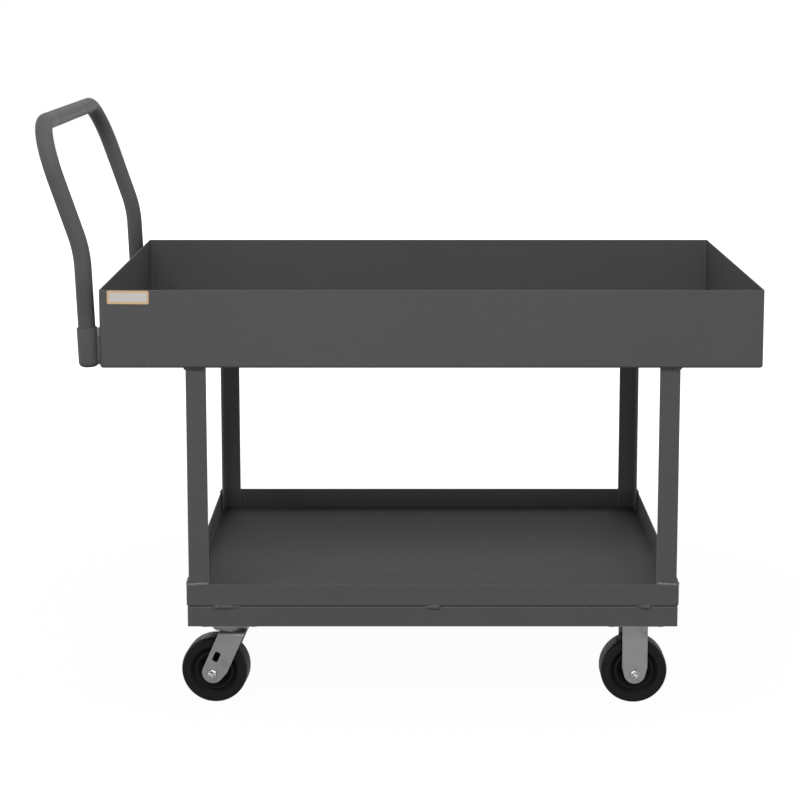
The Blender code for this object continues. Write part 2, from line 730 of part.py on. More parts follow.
def wheel(name, parent):
    """A moulded wheel: crowned shoulders, a grooved face, a recess and a long hub."""
    half = WHEEL_WIDTH / 2
    tread = TREAD_WIDTH / 2
    hub = FORK_GAP / 2 - SIDE_PLAY
    bore = SLEEVE_RADIUS + RUNNING
    side = []
    for step in range(BEND_STEPS + 1):
        angle = step * math.pi / 2 / BEND_STEPS
        dropped = SHOULDER_DROP * (1 - math.cos(angle))
        side.append((WHEEL_RADIUS - dropped, tread + (half - tread) * math.sin(angle)))
    side += [
        (FACE_INNER, half),
        (GROOVE_INNER, half - GROOVE_DEPTH),
        (GROOVE_INNER, half - RIB_SINK),
        (RIB_INNER, half - RIB_SINK),
        (HUB_RADIUS, half - RECESS_DEPTH),
        (HUB_RADIUS, hub),
        (bore, hub),
    ]
    profile = side + [(radius, -height) for radius, height in reversed(side)]
    return solid(name, turned(profile, WHEEL_SIDES), PHENOLIC, parent, smooth=True)


def axle_set(place, parent):
    """What holds a wheel in its fork: the sleeve that it runs on, the bolt and the lock nut."""
    end = FORK_HALF + SEAT
    half = FORK_GAP / 2 - SEAT
    bore = AXLE_RADIUS + SEAT
    outside = SLEEVE_RADIUS * math.cos(math.pi / ROUND_SIDES)
    tube = [(bore, -half), (outside, -half), (outside, half), (bore, half)]
    solid(f"axle_sleeve_{place}", turned(tube), ZINC, parent, smooth=True)
    length = 2 * end + AXLE_NUT + NUT_COLLAR + AXLE_END
    head = [
        (hexagon(AXLE_ACROSS - THREAD_CHAMFER), -AXLE_HEAD),
        (hexagon(AXLE_ACROSS), THREAD_CHAMFER / 2 - AXLE_HEAD),
        (hexagon(AXLE_ACROSS), 0.0),
    ]
    bolt = stacked(head + shank(AXLE_RADIUS, length))
    solid(f"axle_bolt_{place}", bolt, ZINC, parent, (0.0, 0.0, -end))
    nut = stacked(
        [
            (hexagon(AXLE_ACROSS - THREAD_CHAMFER), 0.0),
            (hexagon(AXLE_ACROSS), THREAD_CHAMFER / 2),
            (hexagon(AXLE_ACROSS), AXLE_NUT - THREAD_CHAMFER),
            (ring(NUT_COLLAR_RADIUS), AXLE_NUT),
            (ring(NUT_COLLAR_RADIUS), AXLE_NUT + NUT_COLLAR - THREAD_CHAMFER),
            (ring(NUT_COLLAR_RADIUS - THREAD_CHAMFER), AXLE_NUT + NUT_COLLAR),
        ]
    )
    made = solid(f"axle_nut_{place}", nut, ZINC, parent, (0.0, 0.0, end))
    centre = empty(f"axle_nut_{place}_centre", (0.0, 0.0, end), parent)
    drill(made, f"axle_nut_{place}_bore", [(0.0, 0.0, bore)], -AXLE_NUT, 2 * AXLE_NUT, centre)


def axle_empty(place, side_y, axle_x, parent):
    """The axle's centre, with its local +Z along the axle, out towards the cart's side."""
    return empty(f"axle_{place}", (axle_x, 0.0, WHEEL_RADIUS), parent, (-side_y * math.pi / 2, 0.0, 0.0))


def swivel_caster(place, side_y, parent):
    post = empty(f"swivel_caster_{place}", (-CASTER_X, side_y * CASTER_Y, 0.0), parent)
    swivel_plate(place, post)
    kingpin(place, post)
    plate_bolts(f"{place}_left", post)
    swing = empty(f"swivel_{place}", (0.0, 0.0, 0.0), post, (0.0, 0.0, SWIVEL_REST))
    ball_ring(place, swing)
    swivel_fork(place, swing)
    axle = axle_empty(f"{place}_left", side_y, -TRAIL, swing)
    axle_set(f"{place}_left", axle)
    wheel(f"wheel_{place}_left", axle)


def rigid_caster(place, side_y, parent):
    post = empty(f"rigid_caster_{place}", (CASTER_X, side_y * CASTER_Y, 0.0), parent)
    rigid_fork(place, post)
    plate_bolts(f"{place}_right", post)
    axle = axle_empty(f"{place}_right", side_y, 0.0, post)
    axle_set(f"{place}_right", axle)
    wheel(f"wheel_{place}_right", axle)


clear_scene()

PAINT = material("grey_powder_coat", (0.085, 0.085, 0.087), 0.5, 0.0)
ZINC = material("zinc_plate", (0.32, 0.32, 0.33), 0.4, 0.85)
PHENOLIC = material("black_phenolic", (0.016, 0.016, 0.017), 0.45, 0.0)
PLATE = material("plate_metal", (0.52, 0.50, 0.46), 0.4, 0.6)

cart = empty("cart", (CART_X, 0.0, 0.0))

pan("top_tray", TRAY_LENGTH, TRAY_DEPTH, TRAY_SHIFT, TRAY_BOTTOM, TRAY_WALL)
pan("lower_shelf", SHELF_LENGTH, SHELF_DEPTH, 0.0, SHELF_BOTTOM, SHELF_LIP)

SIDES = (("front", -1), ("rear", 1))
ENDS = (("left", -1), ("right", 1))

for side_name, side_sign in SIDES:
    for end_name, end_sign in ENDS:
        leg(f"leg_{side_name}_{end_name}", end_sign, side_sign, cart)

rail_half_x = SHELF_LENGTH / 2 - RAIL_INSET
rail_half_y = SHELF_DEPTH / 2 - RAIL_INSET
rail("rail_front", 2 * rail_half_x, rail_half_y, 0.0, cart)
rail("rail_right", 2 * rail_half_y, rail_half_x, math.pi / 2, cart)
rail("rail_rear", 2 * rail_half_x, rail_half_y, math.pi, cart)
rail("rail_left", 2 * rail_half_y, rail_half_x, -math.pi / 2, cart)

bolster("bolster_left", -1, True, cart)
bolster("bolster_right", 1, False, cart)

handle(cart)
name_plate(cart)
for side_name, side_sign in SIDES:
    socket(f"handle_socket_{side_name}", side_sign, cart)
    spacer(f"socket_spacer_{side_name}", side_sign, cart)
    swivel_caster(side_name, side_sign, cart)
    rigid_caster(side_name, side_sign, cart)
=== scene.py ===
# %% [markdown]
# # A steel platform cart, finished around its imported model
# The cart is a welded workshop cart. A deep folded tray stands on four legs of angle iron over a
# shallow lipped shelf. Two swivel casters and two rigid ones carry it, and a bent tube handle
# drops into two sockets on the left end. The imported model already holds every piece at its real
# size, but with few sides and no finish. This script makes the fine surface: smooth bends, rounded
# edges, weld beads, turned wheels, powder coat, zinc and moulded resin.

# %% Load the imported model
import json
import math
import random

import bmesh
import bpy
from mathutils import Matrix, Vector


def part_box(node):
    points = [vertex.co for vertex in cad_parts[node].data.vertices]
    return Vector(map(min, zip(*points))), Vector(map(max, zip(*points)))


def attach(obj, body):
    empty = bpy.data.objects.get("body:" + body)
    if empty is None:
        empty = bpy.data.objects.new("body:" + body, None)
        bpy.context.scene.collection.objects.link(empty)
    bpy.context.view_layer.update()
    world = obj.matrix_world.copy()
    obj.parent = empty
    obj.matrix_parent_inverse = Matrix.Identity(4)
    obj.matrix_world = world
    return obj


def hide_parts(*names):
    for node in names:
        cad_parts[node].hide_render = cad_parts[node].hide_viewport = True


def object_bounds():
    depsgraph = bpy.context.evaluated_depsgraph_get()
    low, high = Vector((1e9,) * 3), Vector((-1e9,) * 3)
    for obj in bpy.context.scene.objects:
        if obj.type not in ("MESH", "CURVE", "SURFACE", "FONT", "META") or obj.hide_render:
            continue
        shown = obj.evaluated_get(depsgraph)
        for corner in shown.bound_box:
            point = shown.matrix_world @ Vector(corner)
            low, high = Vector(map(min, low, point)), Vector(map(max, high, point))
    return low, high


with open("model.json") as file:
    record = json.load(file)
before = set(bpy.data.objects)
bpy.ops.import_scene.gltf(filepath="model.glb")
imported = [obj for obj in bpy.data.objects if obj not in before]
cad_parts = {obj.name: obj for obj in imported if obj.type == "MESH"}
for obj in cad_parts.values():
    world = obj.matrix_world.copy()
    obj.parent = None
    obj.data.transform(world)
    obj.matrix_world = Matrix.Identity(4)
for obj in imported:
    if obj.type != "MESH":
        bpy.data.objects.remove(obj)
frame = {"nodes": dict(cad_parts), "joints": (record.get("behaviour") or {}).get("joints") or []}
cad_low, cad_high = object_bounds()
joints = {joint["name"]: joint for joint in frame["joints"]}
print("box in mm:", [round(1000 * size) for size in cad_high - cad_low])

# %% [markdown]
# ## The camera
# A product photographer stands well back with a long lens, so that the cart's upright lines stay
# nearly parallel. The place, tilt and lens below were solved from the edges of the tray, the shelf
# and the wheels. A small shift of the picture stands for the crop of the photograph. The camera
# comes first, because every later choice is judged through it.

# %% Camera
CAMERA_PLACE = (0.0258, -4.1851, 1.3684)
CAMERA_TILT = math.radians(8.5)
CAMERA_LENS = 94.10
SENSOR_WIDTH = 36.0
PICTURE_SHIFT = (-0.01455, -0.1318)


def add_object(name, data):
    """Wraps a mesh, camera or lamp in an object and shows it in the scene."""
    made = bpy.data.objects.new(name, data)
    bpy.context.scene.collection.objects.link(made)
    return made


lens = bpy.data.cameras.new("long_lens")
lens.lens = CAMERA_LENS
lens.sensor_width = SENSOR_WIDTH
lens.shift_x, lens.shift_y = PICTURE_SHIFT
camera = add_object("camera", lens)
camera.location = CAMERA_PLACE
camera.rotation_euler = (math.pi / 2 - CAMERA_TILT, 0.0, 0.0)
bpy.context.scene.camera = camera
bpy.context.scene.view_settings.view_transform = "Standard"
print("camera is", round((Vector(CAMERA_PLACE) - (cad_low + cad_high) / 2).length, 2), "m away")

# %% [markdown]
# ## Arithmetic for materials
# A finish is a recipe of patterns: clouds of shade, a fine grain, a mask for worn edges. Building it
# by hand in the node editor hides the recipe in wires. Here one small class wraps an output socket,
# so that patterns are added and multiplied like numbers, and one method makes any other node.

# %% A socket that can be used in sums
class Signal:
    """One output of a recipe's nodes, which varies over the surface."""

    def __init__(self, recipe, socket):
        self.recipe = recipe
        self.socket = socket

    def math(self, operation, first, second):
        return self.recipe.node("ShaderNodeMath", {"operation": operation}, {0: first, 1: second})

    def __add__(self, other):
        return self.math("ADD", self, other)

    def __radd__(self, other):
        return self.math("ADD", other, self)

    def __sub__(self, other):
        return self.math("SUBTRACT", self, other)

    def __rsub__(self, other):
        return self.math("SUBTRACT", other, self)

    def __mul__(self, other):
        return self.math("MULTIPLY", self, other)

    def __rmul__(self, other):
        return self.math("MULTIPLY", other, self)


# %% A recipe, built node by node
class Recipe:
    """The nodes of one material or of the world."""

    def __init__(self, tree):
        self.tree = tree

    def node(self, kind, settings=None, inputs=None, output=0):
        """Adds any node: first its settings, then the values or links of its sockets."""
        made = self.tree.nodes.new(kind)
        for name, value in (settings or {}).items():
            setattr(made, name, value)
        for name, value in (inputs or {}).items():
            self.feed(made.inputs[name], value)
        return Signal(self, made.outputs[output])

    def feed(self, socket, value):
        if isinstance(value, Signal):
            self.tree.links.new(value.socket, socket)
        else:
            socket.default_value = value

    def rise(self, signal, low, high):
        """A smooth step from 0 at low to 1 at high."""
        settings = {"interpolation_type": "SMOOTHSTEP"}
        inputs = {"Value": signal, "From Min": low, "From Max": high}
        return self.node("ShaderNodeMapRange", settings, inputs)


# %% A finish for a piece
class Finish(Recipe):
    """A material with a Principled shader, and the patterns that feed it."""

    def __init__(self, name, metallic=0.0, specular=0.5):
        self.material = bpy.data.materials.new(name)
        self.material.use_nodes = True
        super().__init__(self.material.node_tree)
        self.shader = self.tree.nodes["Principled BSDF"]
        self.shader.inputs["Metallic"].default_value = metallic
        self.shader.inputs["Specular IOR Level"].default_value = specular
        self.place = self.node("ShaderNodeTexCoord", output="Object")

    def clouds(self, size, detail=3.0, place=None):
        """A cloudy pattern from 0 to 1 whose patches are about this many metres across."""
        inputs = {"Vector": place or self.place, "Scale": 1.0 / size, "Detail": detail}
        return self.node("ShaderNodeTexNoise", inputs=inputs)

    def stretched(self, scale):
        """The surface's place, drawn out along the axes whose scale is small."""
        return self.node("ShaderNodeMapping", inputs={"Vector": self.place, "Scale": scale})

    def edges(self, low, high):
        """A mask of the outer edges and corners, where a coat is thin and rubs first.
        On the powder coat and the bright zinc it also lays a painted highlight.
        """
        sharpness = self.node("ShaderNodeNewGeometry", output="Pointiness")
        return self.rise(sharpness, low, high)

    def mix(self, mask, first, second):
        """One colour where the mask is 0 and the other where it is 1."""
        inputs = {0: mask, 6: first, 7: second}
        return self.node("ShaderNodeMix", {"data_type": "RGBA"}, inputs, output=2)

    def paint(self, colour, roughness, height, depth):
        """Feeds the shader: its colour, its roughness, and a relief this many metres deep."""
        relief = self.node("ShaderNodeBump", inputs={"Height": height, "Distance": depth})
        self.feed(self.shader.inputs["Base Color"], colour)
        self.feed(self.shader.inputs["Roughness"], roughness)
        self.feed(self.shader.inputs["Normal"], relief)
        print(self.material.name, "has", len(self.tree.nodes), "nodes")
        return self.material


def grey(level, warmth=0.0):
    """A nearly neutral colour of this brightness, warmer or cooler by a share."""
    return (level * (1.0 + warmth), level, level * (1.0 - warmth), 1.0)


# %% [markdown]
# ## Powder coat
# The steelwork is sprayed with dry powder and baked. That leaves a satin skin with a fine orange
# peel, a little darker where it pooled, and thin along sheared edges. Their lighter colour is that
# thin coat and also a painted highlight. A plain grey would look like plastic, so the shade drifts
# in broad clouds and a fine mottle, and a shallow relief breaks up the highlights at the scale of
# the real peel, about 2 to 3 mm. On the ripples of a weld the coat is thin and shines, so the beads
# get a second mix of the same recipe, whose lighter shades are a painted highlight.

# %% Powder coat
PAINT_DARK = grey(0.060)
PAINT_LIGHT = grey(0.080)
# The edge colour is a worn thin coat and also a painted highlight along the rims.
EDGE_WEAR_AND_PAINTED_HIGHLIGHT = grey(0.19)
BEAD_DARK = grey(0.060)
# The beads' lighter shade is a painted highlight.
BEAD_LIGHT_PAINTED_HIGHLIGHT = grey(0.125)
DRIFT_SIZE = 0.35
MOTTLE_SIZE = 0.011
SPECK_SIZE = 0.0021
PEEL_SIZE = 0.0028
SCUFF_SIZE = 0.05
PEEL_DEPTH = 0.00022


def powder_coat(name, dark, light, specular, gloss):
    coat = Finish(name, specular=specular)
    drift = coat.clouds(DRIFT_SIZE, 2.0)
    mottle = coat.clouds(MOTTLE_SIZE, 4.0)
    speck = coat.clouds(SPECK_SIZE, 2.0)
    peel = coat.clouds(PEEL_SIZE, 1.5)
    scuffs = coat.rise(coat.clouds(SCUFF_SIZE, 6.0), 0.60, 0.72)
    shade = coat.mix(0.45 * drift + 0.35 * mottle + 0.2 * speck, dark, light)
    # This mask lightens the edges: worn thin coat, and also a painted highlight.
    thin = coat.edges(0.55, 0.60) * (0.4 + 0.5 * mottle)
    colour = coat.mix(thin, shade, EDGE_WEAR_AND_PAINTED_HIGHLIGHT)
    roughness = (1.0 - gloss) + 0.10 * mottle - 0.06 * scuffs
    return coat.paint(colour, roughness, 0.8 * peel + 0.2 * mottle, PEEL_DEPTH)


PAINT = powder_coat("grey_powder_coat", PAINT_DARK, PAINT_LIGHT, 0.08, 0.38)
# The beads get a lighter copy of the coat, a painted highlight on their ripples.
BEAD_PAINT_WITH_HIGHLIGHT = powder_coat("powder_coat_on_welds_with_painted_highlight", BEAD_DARK, BEAD_LIGHT_PAINTED_HIGHLIGHT, 0.35, 0.60)

# %% [markdown]
# ## Zinc plate
# The casters' pressed steel is plated with dull zinc. It is a metal, so its colour is the colour of
# its reflection, softened by a rough skin. The plating shows faint patches, a grain from rolling the
# sheet, and fine scratches. The grain is the same noise drawn out along one axis.

# %% Zinc plate
ZINC_DARK = grey(0.145)
ZINC_LIGHT = grey(0.200)
ZINC_BRIGHT = grey(0.50)
ZINC_GRIME = grey(0.10, 0.03)
ROLLED_ALONG_Z = (1.0, 1.0, 0.12)
GRAIN_DEPTH = 0.00010


def zinc_plate():
    zinc = Finish("dull_zinc_plate", metallic=0.85)
    patches = zinc.clouds(0.018, 3.0)
    grain = zinc.clouds(0.0014, 3.0, zinc.stretched(ROLLED_ALONG_Z))
    specks = zinc.clouds(0.0012, 2.0)
    grime = zinc.rise(zinc.clouds(0.03, 5.0), 0.52, 0.75)
    shade = zinc.mix(0.5 * patches + 0.3 * grain + 0.2 * specks, ZINC_DARK, ZINC_LIGHT)
    soiled = zinc.mix(0.35 * grime, shade, ZINC_GRIME)
    rubbed = zinc.edges(0.53, 0.62) * (0.35 + 0.4 * patches)
    colour = zinc.mix(rubbed, soiled, ZINC_BRIGHT)
    roughness = 0.42 + 0.12 * patches + 0.10 * grime
    return zinc.paint(colour, roughness, 0.6 * grain + 0.4 * specks, GRAIN_DEPTH)


ZINC = zinc_plate()

# %% [markdown]
# ## Bright fasteners
# Bolts and nuts are plated in a barrel, which leaves them brighter and smoother than the pressed
# forks. Oil and dust soon darken them in spots, and those dark spots are also a painted reflection
# of a dark room. Their light rims are rubbed plating and also a painted highlight. They get their
# own finish, so that they catch the light as the small sharp points they are.

# %% Bright zinc
BRIGHT_CLEAN = grey(0.46, 0.02)
# The soiled shade is oil and dust and also a painted dark reflection; the edge colour is rubbed plating
# and also a painted highlight.
BRIGHT_SOILED_AND_DARK_REFLECTION = grey(0.12, 0.02)
BRIGHT_EDGE_AND_HIGHLIGHT = grey(0.75, 0.01)
SCRATCH_DEPTH = 0.00005


def bright_zinc():
    zinc = Finish("bright_zinc", metallic=0.95)
    patches = zinc.clouds(0.004, 2.0)
    scratches = zinc.clouds(0.0008, 4.0, zinc.stretched((1.0, 0.2, 1.0)))
    # These patches are oil and dust and also a painted dark reflection.
    soiled = zinc.rise(patches, 0.46, 0.56)
    shade = zinc.mix(soiled, BRIGHT_CLEAN, BRIGHT_SOILED_AND_DARK_REFLECTION)
    colour = zinc.mix(zinc.edges(0.54, 0.66), shade, BRIGHT_EDGE_AND_HIGHLIGHT)
    return zinc.paint(colour, 0.16 + 0.24 * soiled, scratches, SCRATCH_DEPTH)


BRIGHT = bright_zinc()

# %% [markdown]
# ## Frame pieces in bmesh
# Six helpers cover most of the cart. `section` draws a flat outline and rounds its corners with a
# vertex bevel. `extruded` gives it length and `lathe` spins it. `soften` takes the sharpness off
# edges, as a deburring wheel does. `frame_flats` lays two thin bands of faces just inside each flat
# area, so that rounded edges don't shade the middle. `keep` closes seams, turns faces outwards and
# hands the piece to the body that it moves with.

# %% From outline to solid
MERGE = 0.00001


def only(kind, geometry):
    """The items of one kind out of what an operator returned."""
    return [item for item in geometry if isinstance(item, kind)]


def section(corners, segments=4):
    """A flat face in X and Z from (x, z, rounding) corners."""
    bm = bmesh.new()
    verts = [bm.verts.new((x, 0.0, z)) for x, z, _ in corners]
    bm.faces.new(verts)
    for reach in sorted({corner[2] for corner in corners} - {0.0}):
        chosen = [vert for vert, corner in zip(verts, corners) if corner[2] == reach]
        bmesh.ops.bevel(
            bm,
            geom=chosen,
            offset=reach,
            segments=segments,
            profile=0.5,
            affect="VERTICES",
            material=-1,
        )
    return bm


def thicken(bm, depth):
    """Makes a flat shape solid along Y."""
    grown = bmesh.ops.extrude_face_region(bm, geom=list(bm.faces), use_keep_orig=True)["geom"]
    bmesh.ops.translate(bm, verts=only(bmesh.types.BMVert, grown), vec=(0.0, depth, 0.0))


def extruded(corners, low, high, segments=4):
    """A section made solid from one Y to another."""
    bm = section(corners, segments)
    bmesh.ops.translate(bm, verts=bm.verts, vec=(0.0, low, 0.0))
    thicken(bm, high - low)
    return bm


def lathe(corners, steps, segments=4):
    """A section spun all the way round Z."""
    bm = section(corners, segments)
    bmesh.ops.delete(bm, geom=list(bm.faces), context="FACES_ONLY")
    bmesh.ops.spin(
        bm,
        geom=list(bm.verts) + list(bm.edges),
        cent=(0.0, 0.0, 0.0),
        axis=(0.0, 0.0, 1.0),
        angle=2 * math.pi,
        steps=steps,
        use_merge=True,
    )
    bmesh.ops.remove_doubles(bm, verts=bm.verts, dist=MERGE)
    loose = [edge for edge in bm.edges if not edge.link_faces]
    bmesh.ops.delete(bm, geom=loose, context="EDGES")
    return bm


# %% Rounded edges and banded flats
COPLANAR = math.radians(0.1)
WIDE_FLAT = 0.0200
FLAT_BAND = 0.0004
FLAT_BANDS = 2


def bevel_edges(bm, edges, reach, segments, clamp=False):
    bmesh.ops.bevel(
        bm,
        geom=edges,
        offset=reach,
        segments=segments,
        profile=0.5,
        affect="EDGES",
        clamp_overlap=clamp,
        material=-1,
    )


def soften(bm, reach, segments=2, angle=math.radians(50)):
    """Rounds every edge that turns more sharply than the angle."""
    bm.normal_update()
    bmesh.ops.recalc_face_normals(bm, faces=bm.faces)
    sharp = [edge for edge in bm.edges if edge.is_manifold and edge.calc_face_angle() > angle]
    bevel_edges(bm, sharp, reach, segments, clamp=True)
    return bm


def flat_area(start, seen):
    """The faces in one plane that are joined to this one."""
    area = [start]
    seen.add(start)
    for face in area:
        for edge in face.edges:
            for other in edge.link_faces:
                if other not in seen and edge.is_manifold and edge.calc_face_angle() < COPLANAR:
                    seen.add(other)
                    area.append(other)
    return area


def frame_flats(bm):
    """Bands the border of each wide flat area, which keeps its shade even and its worn rim narrow."""
    seen = set()
    for start in list(bm.faces):
        if start in seen:
            continue
        area = flat_area(start, seen)
        inside = set(area)
        edges = [edge for face in area for edge in face.edges]
        border = [edge for edge in edges if any(face not in inside for face in edge.link_faces)]
        width = 2 * sum(face.calc_area() for face in area) / sum(edge.calc_length() for edge in border)
        if width > WIDE_FLAT:
            for _ in range(FLAT_BANDS):
                made = bmesh.ops.inset_region(
                    bm, faces=area, thickness=FLAT_BAND, use_boundary=True, use_even_offset=True
                )
                seen.update(made["faces"])


# %% Placing, joining and keeping a piece
SHARP = math.radians(35)


def put(bm, matrix):
    bmesh.ops.transform(bm, matrix=matrix, verts=bm.verts)
    return bm


def join(*parts):
    """Several closed shapes as one bmesh."""
    whole = parts[0]
    for part in parts[1:]:
        spare = bpy.data.meshes.new("spare")
        part.to_mesh(spare)
        part.free()
        whole.from_mesh(spare)
        bpy.data.meshes.remove(spare)
    return whole


def keep(name, bm, finishes, body, stands_for=()):
    """Hands a finished shape to the cart as a piece."""
    bmesh.ops.remove_doubles(bm, verts=bm.verts, dist=MERGE)
    bm.normal_update()
    bmesh.ops.recalc_face_normals(bm, faces=bm.faces)
    frame_flats(bm)
    mesh = bpy.data.meshes.new(name)
    bm.to_mesh(mesh)
    bm.free()
    for finish in finishes:
        mesh.materials.append(finish)
    mesh.shade_smooth()
    mesh.set_sharp_from_angle(angle=SHARP)
    piece = add_object(name, mesh)
    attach(piece, body)
    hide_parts(*stands_for)
    print(name, "has", len(mesh.polygons), "faces")
    return piece


# %% [markdown]
# ## The tray and the shelf
# Each is one sheet, folded up on four sides and welded at the corners. A cube with its bottom edges
# bevelled gives the bends. Insetting its top face by the sheet's thickness and pushing it down
# hollows it, and a last bevel gives the inside of the bends. The rim keeps the square look of
# sheared sheet, with only a fine break on its edges that draws the light line along the top, and
# the coat's painted highlight on its edges brightens that line.

# %% Folded pans
SHEET = 0.0027
BEND = 0.0050
CORNER = 0.0060
BEND_STEPS = 6
RIM_BREAK = 0.0010
RIM_STEPS = 3


def level_of(face):
    return face.calc_center_median().z


def pan(node):
    low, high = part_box(node)
    size = high - low
    bm = bmesh.new()
    bmesh.ops.create_cube(bm, size=1.0, matrix=Matrix.Diagonal((*size, 1.0)))
    upright = [edge for edge in bm.edges if edge.verts[0].co.z * edge.verts[1].co.z < 0]
    bevel_edges(bm, upright, CORNER, BEND_STEPS)
    bevel_edges(bm, list(min(bm.faces, key=level_of).edges), BEND, BEND_STEPS)
    mouth = max(bm.faces, key=level_of)
    bmesh.ops.inset_individual(bm, faces=[mouth], thickness=SHEET, use_even_offset=True)
    floor = bmesh.ops.extrude_discrete_faces(bm, faces=[mouth])["faces"][0]
    bmesh.ops.translate(bm, verts=floor.verts, vec=(0.0, 0.0, SHEET - size.z))
    bevel_edges(bm, list(floor.edges), BEND - SHEET, BEND_STEPS)
    rim = [edge for edge in bm.edges if all(vert.co.z > size.z / 2 - MERGE for vert in edge.verts)]
    rim = [edge for edge in rim if edge.calc_face_angle(0.0) > SHARP]
    bevel_edges(bm, rim, RIM_BREAK, RIM_STEPS)
    put(bm, Matrix.Translation((low + high) / 2))
    return keep(node + "_sheet", bm, [PAINT], "frame", [node])


for node in ("top_tray", "lower_shelf"):
    pan(node)

# %% [markdown]
# ## Angle iron
# Legs and rails are hot-rolled angle iron. Rolling leaves a rounded root inside the L, rounded toes
# on the thin ends and a crisp heel. One section serves all eight, and a matrix that may mirror it
# turns it into each corner. The rails' ends are cut at 45 degrees by a bisecting plane and closed.

# %% Legs and rails
ANGLE_WALL = 0.0032
ANGLE_ROOT = 0.0042
ANGLE_TOE = 0.0018
ANGLE_HEEL = 0.0006
ANGLE_STEPS = 5
CUT_BREAK = 0.0003
CUT_TURN = math.radians(80)
SEAT = 0.0003


def angle_iron(size, length):
    """An L with its heel on the Y axis and its legs along +X and +Z."""
    corners = [
        (0.0, 0.0, ANGLE_HEEL),
        (size, 0.0, 0.0),
        (size, ANGLE_WALL, ANGLE_TOE),
        (ANGLE_WALL, ANGLE_WALL, ANGLE_ROOT),
        (ANGLE_WALL, size, ANGLE_TOE),
        (0.0, size, 0.0),
    ]
    return extruded(corners, -length / 2, length / 2, ANGLE_STEPS)


def leg(name, side_x, side_y):
    low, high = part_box(name)
    heel = (low.x if side_x < 0 else high.x, low.y if side_y < 0 else high.y, (low.z + high.z) / 2)
    bm = angle_iron(high.x - low.x, high.z - low.z)
    soften(bm, CUT_BREAK, 1, CUT_TURN)
    turn = Matrix(((-side_x, 0, 0, 0), (0, 0, -side_y, 0), (0, 1, 0, 0), (0, 0, 0, 1)))
    put(bm, Matrix.Translation(heel) @ turn)
    return keep(name + "_angle", bm, [PAINT], "frame", [name])


def everything(bm):
    return list(bm.verts) + list(bm.edges) + list(bm.faces)


def rail(name, turn):
    low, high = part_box(name)
    size = high - low
    length = max(size.x, size.y)
    across = min(size.x, size.y)
    bm = angle_iron(across, length)
    for end in (-1, 1):
        cut = bmesh.ops.bisect_plane(
            bm,
            geom=everything(bm),
            dist=MERGE,
            plane_co=(0.0, end * (length / 2 - SEAT), 0.0),
            plane_no=Vector((1.0, end, 0.0)).normalized(),
            clear_outer=True,
        )["geom_cut"]
        bmesh.ops.contextual_create(bm, geom=only(bmesh.types.BMEdge, cut))
    along = Matrix(((0, 1, 0, 0), (1, 0, 0, 0), (0, 0, -1, 0), (0, 0, 0, 1)))
    out = Matrix.Translation((0.0, -across / 2, 0.0))
    middle = (low + high) / 2
    side = Matrix.Translation((middle.x, middle.y, high.z)) @ Matrix.Rotation(turn, 4, "Z")
    put(bm, side @ out @ along)
    return keep(name + "_angle", bm, [PAINT], "frame", [name])


SIDES = (("front", -1), ("rear", 1))
ENDS = (("left", -1), ("right", 1))
for side_name, side_y in SIDES:
    for end_name, side_x in ENDS:
        leg(f"leg_{side_name}_{end_name}", side_x, side_y)
for number, name in enumerate(("rail_front", "rail_right", "rail_rear", "rail_left")):
    rail(name, number * math.pi / 2)

# %% [markdown]
# ## The push handle
# One length of round tube is bent four times: a slow knee on each side and a round corner at each
# end of the top bar. A ring of edges is pushed along the straight runs and spun round each bend's
# centre, as the tube bender does. Half the handle is made and mirrored. The wall is added last, so
# that the open ends are real when the handle is lifted out.

# %% Handle path
TUBE_RADIUS = 0.0160
TUBE_WALL = 0.0021
TUBE_SIDES = 40
SOCKET_LEAN = math.radians(2.4)
RAKE = math.radians(18.65)
SOCKET_RADIUS = 0.0190
SOCKET_GAP = 0.0032
SOCKET_INSET = 0.0180
SOCKET_FLOOR = 0.0040
KNEE_HEIGHT = 0.8790
KNEE_RADIUS = 0.225
TOP_RADIUS = 0.104
KNEE_STEPS = 12
TOP_STEPS = 24

tray_low, tray_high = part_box("top_tray")
socket_y = tray_high.y - SOCKET_INSET
socket_x = tray_low.x - SOCKET_RADIUS - SOCKET_GAP


def slope_in_plane(angle):
    """The direction that leans back from upright by this angle."""
    return Vector((-math.sin(angle), 0.0, math.cos(angle)))


def push_ring(bm, edges, reach):
    """Extrudes a ring of edges straight and returns the new ring."""
    grown = bmesh.ops.extrude_edge_only(bm, edges=edges)["geom"]
    bmesh.ops.translate(bm, verts=only(bmesh.types.BMVert, grown), vec=reach)
    return only(bmesh.types.BMEdge, grown)


def bend_ring(bm, edges, centre, axis, angle, steps):
    """Spins a ring of edges round a bend's centre and returns the last ring."""
    verts = list(dict.fromkeys(vert for edge in edges for vert in edge.verts))
    last = bmesh.ops.spin(
        bm,
        geom=verts + edges,
        cent=centre,
        axis=axis,
        angle=angle,
        steps=steps,
        use_merge=False,
    )["geom_last"]
    return only(bmesh.types.BMEdge, last)


# %% The handle
def mirror_half(bm):
    """Adds the other half, across the plane Y = 0."""
    bmesh.ops.mirror(bm, geom=everything(bm), axis="Y", merge_dist=MERGE)
    bmesh.ops.remove_doubles(bm, verts=bm.verts, dist=MERGE)


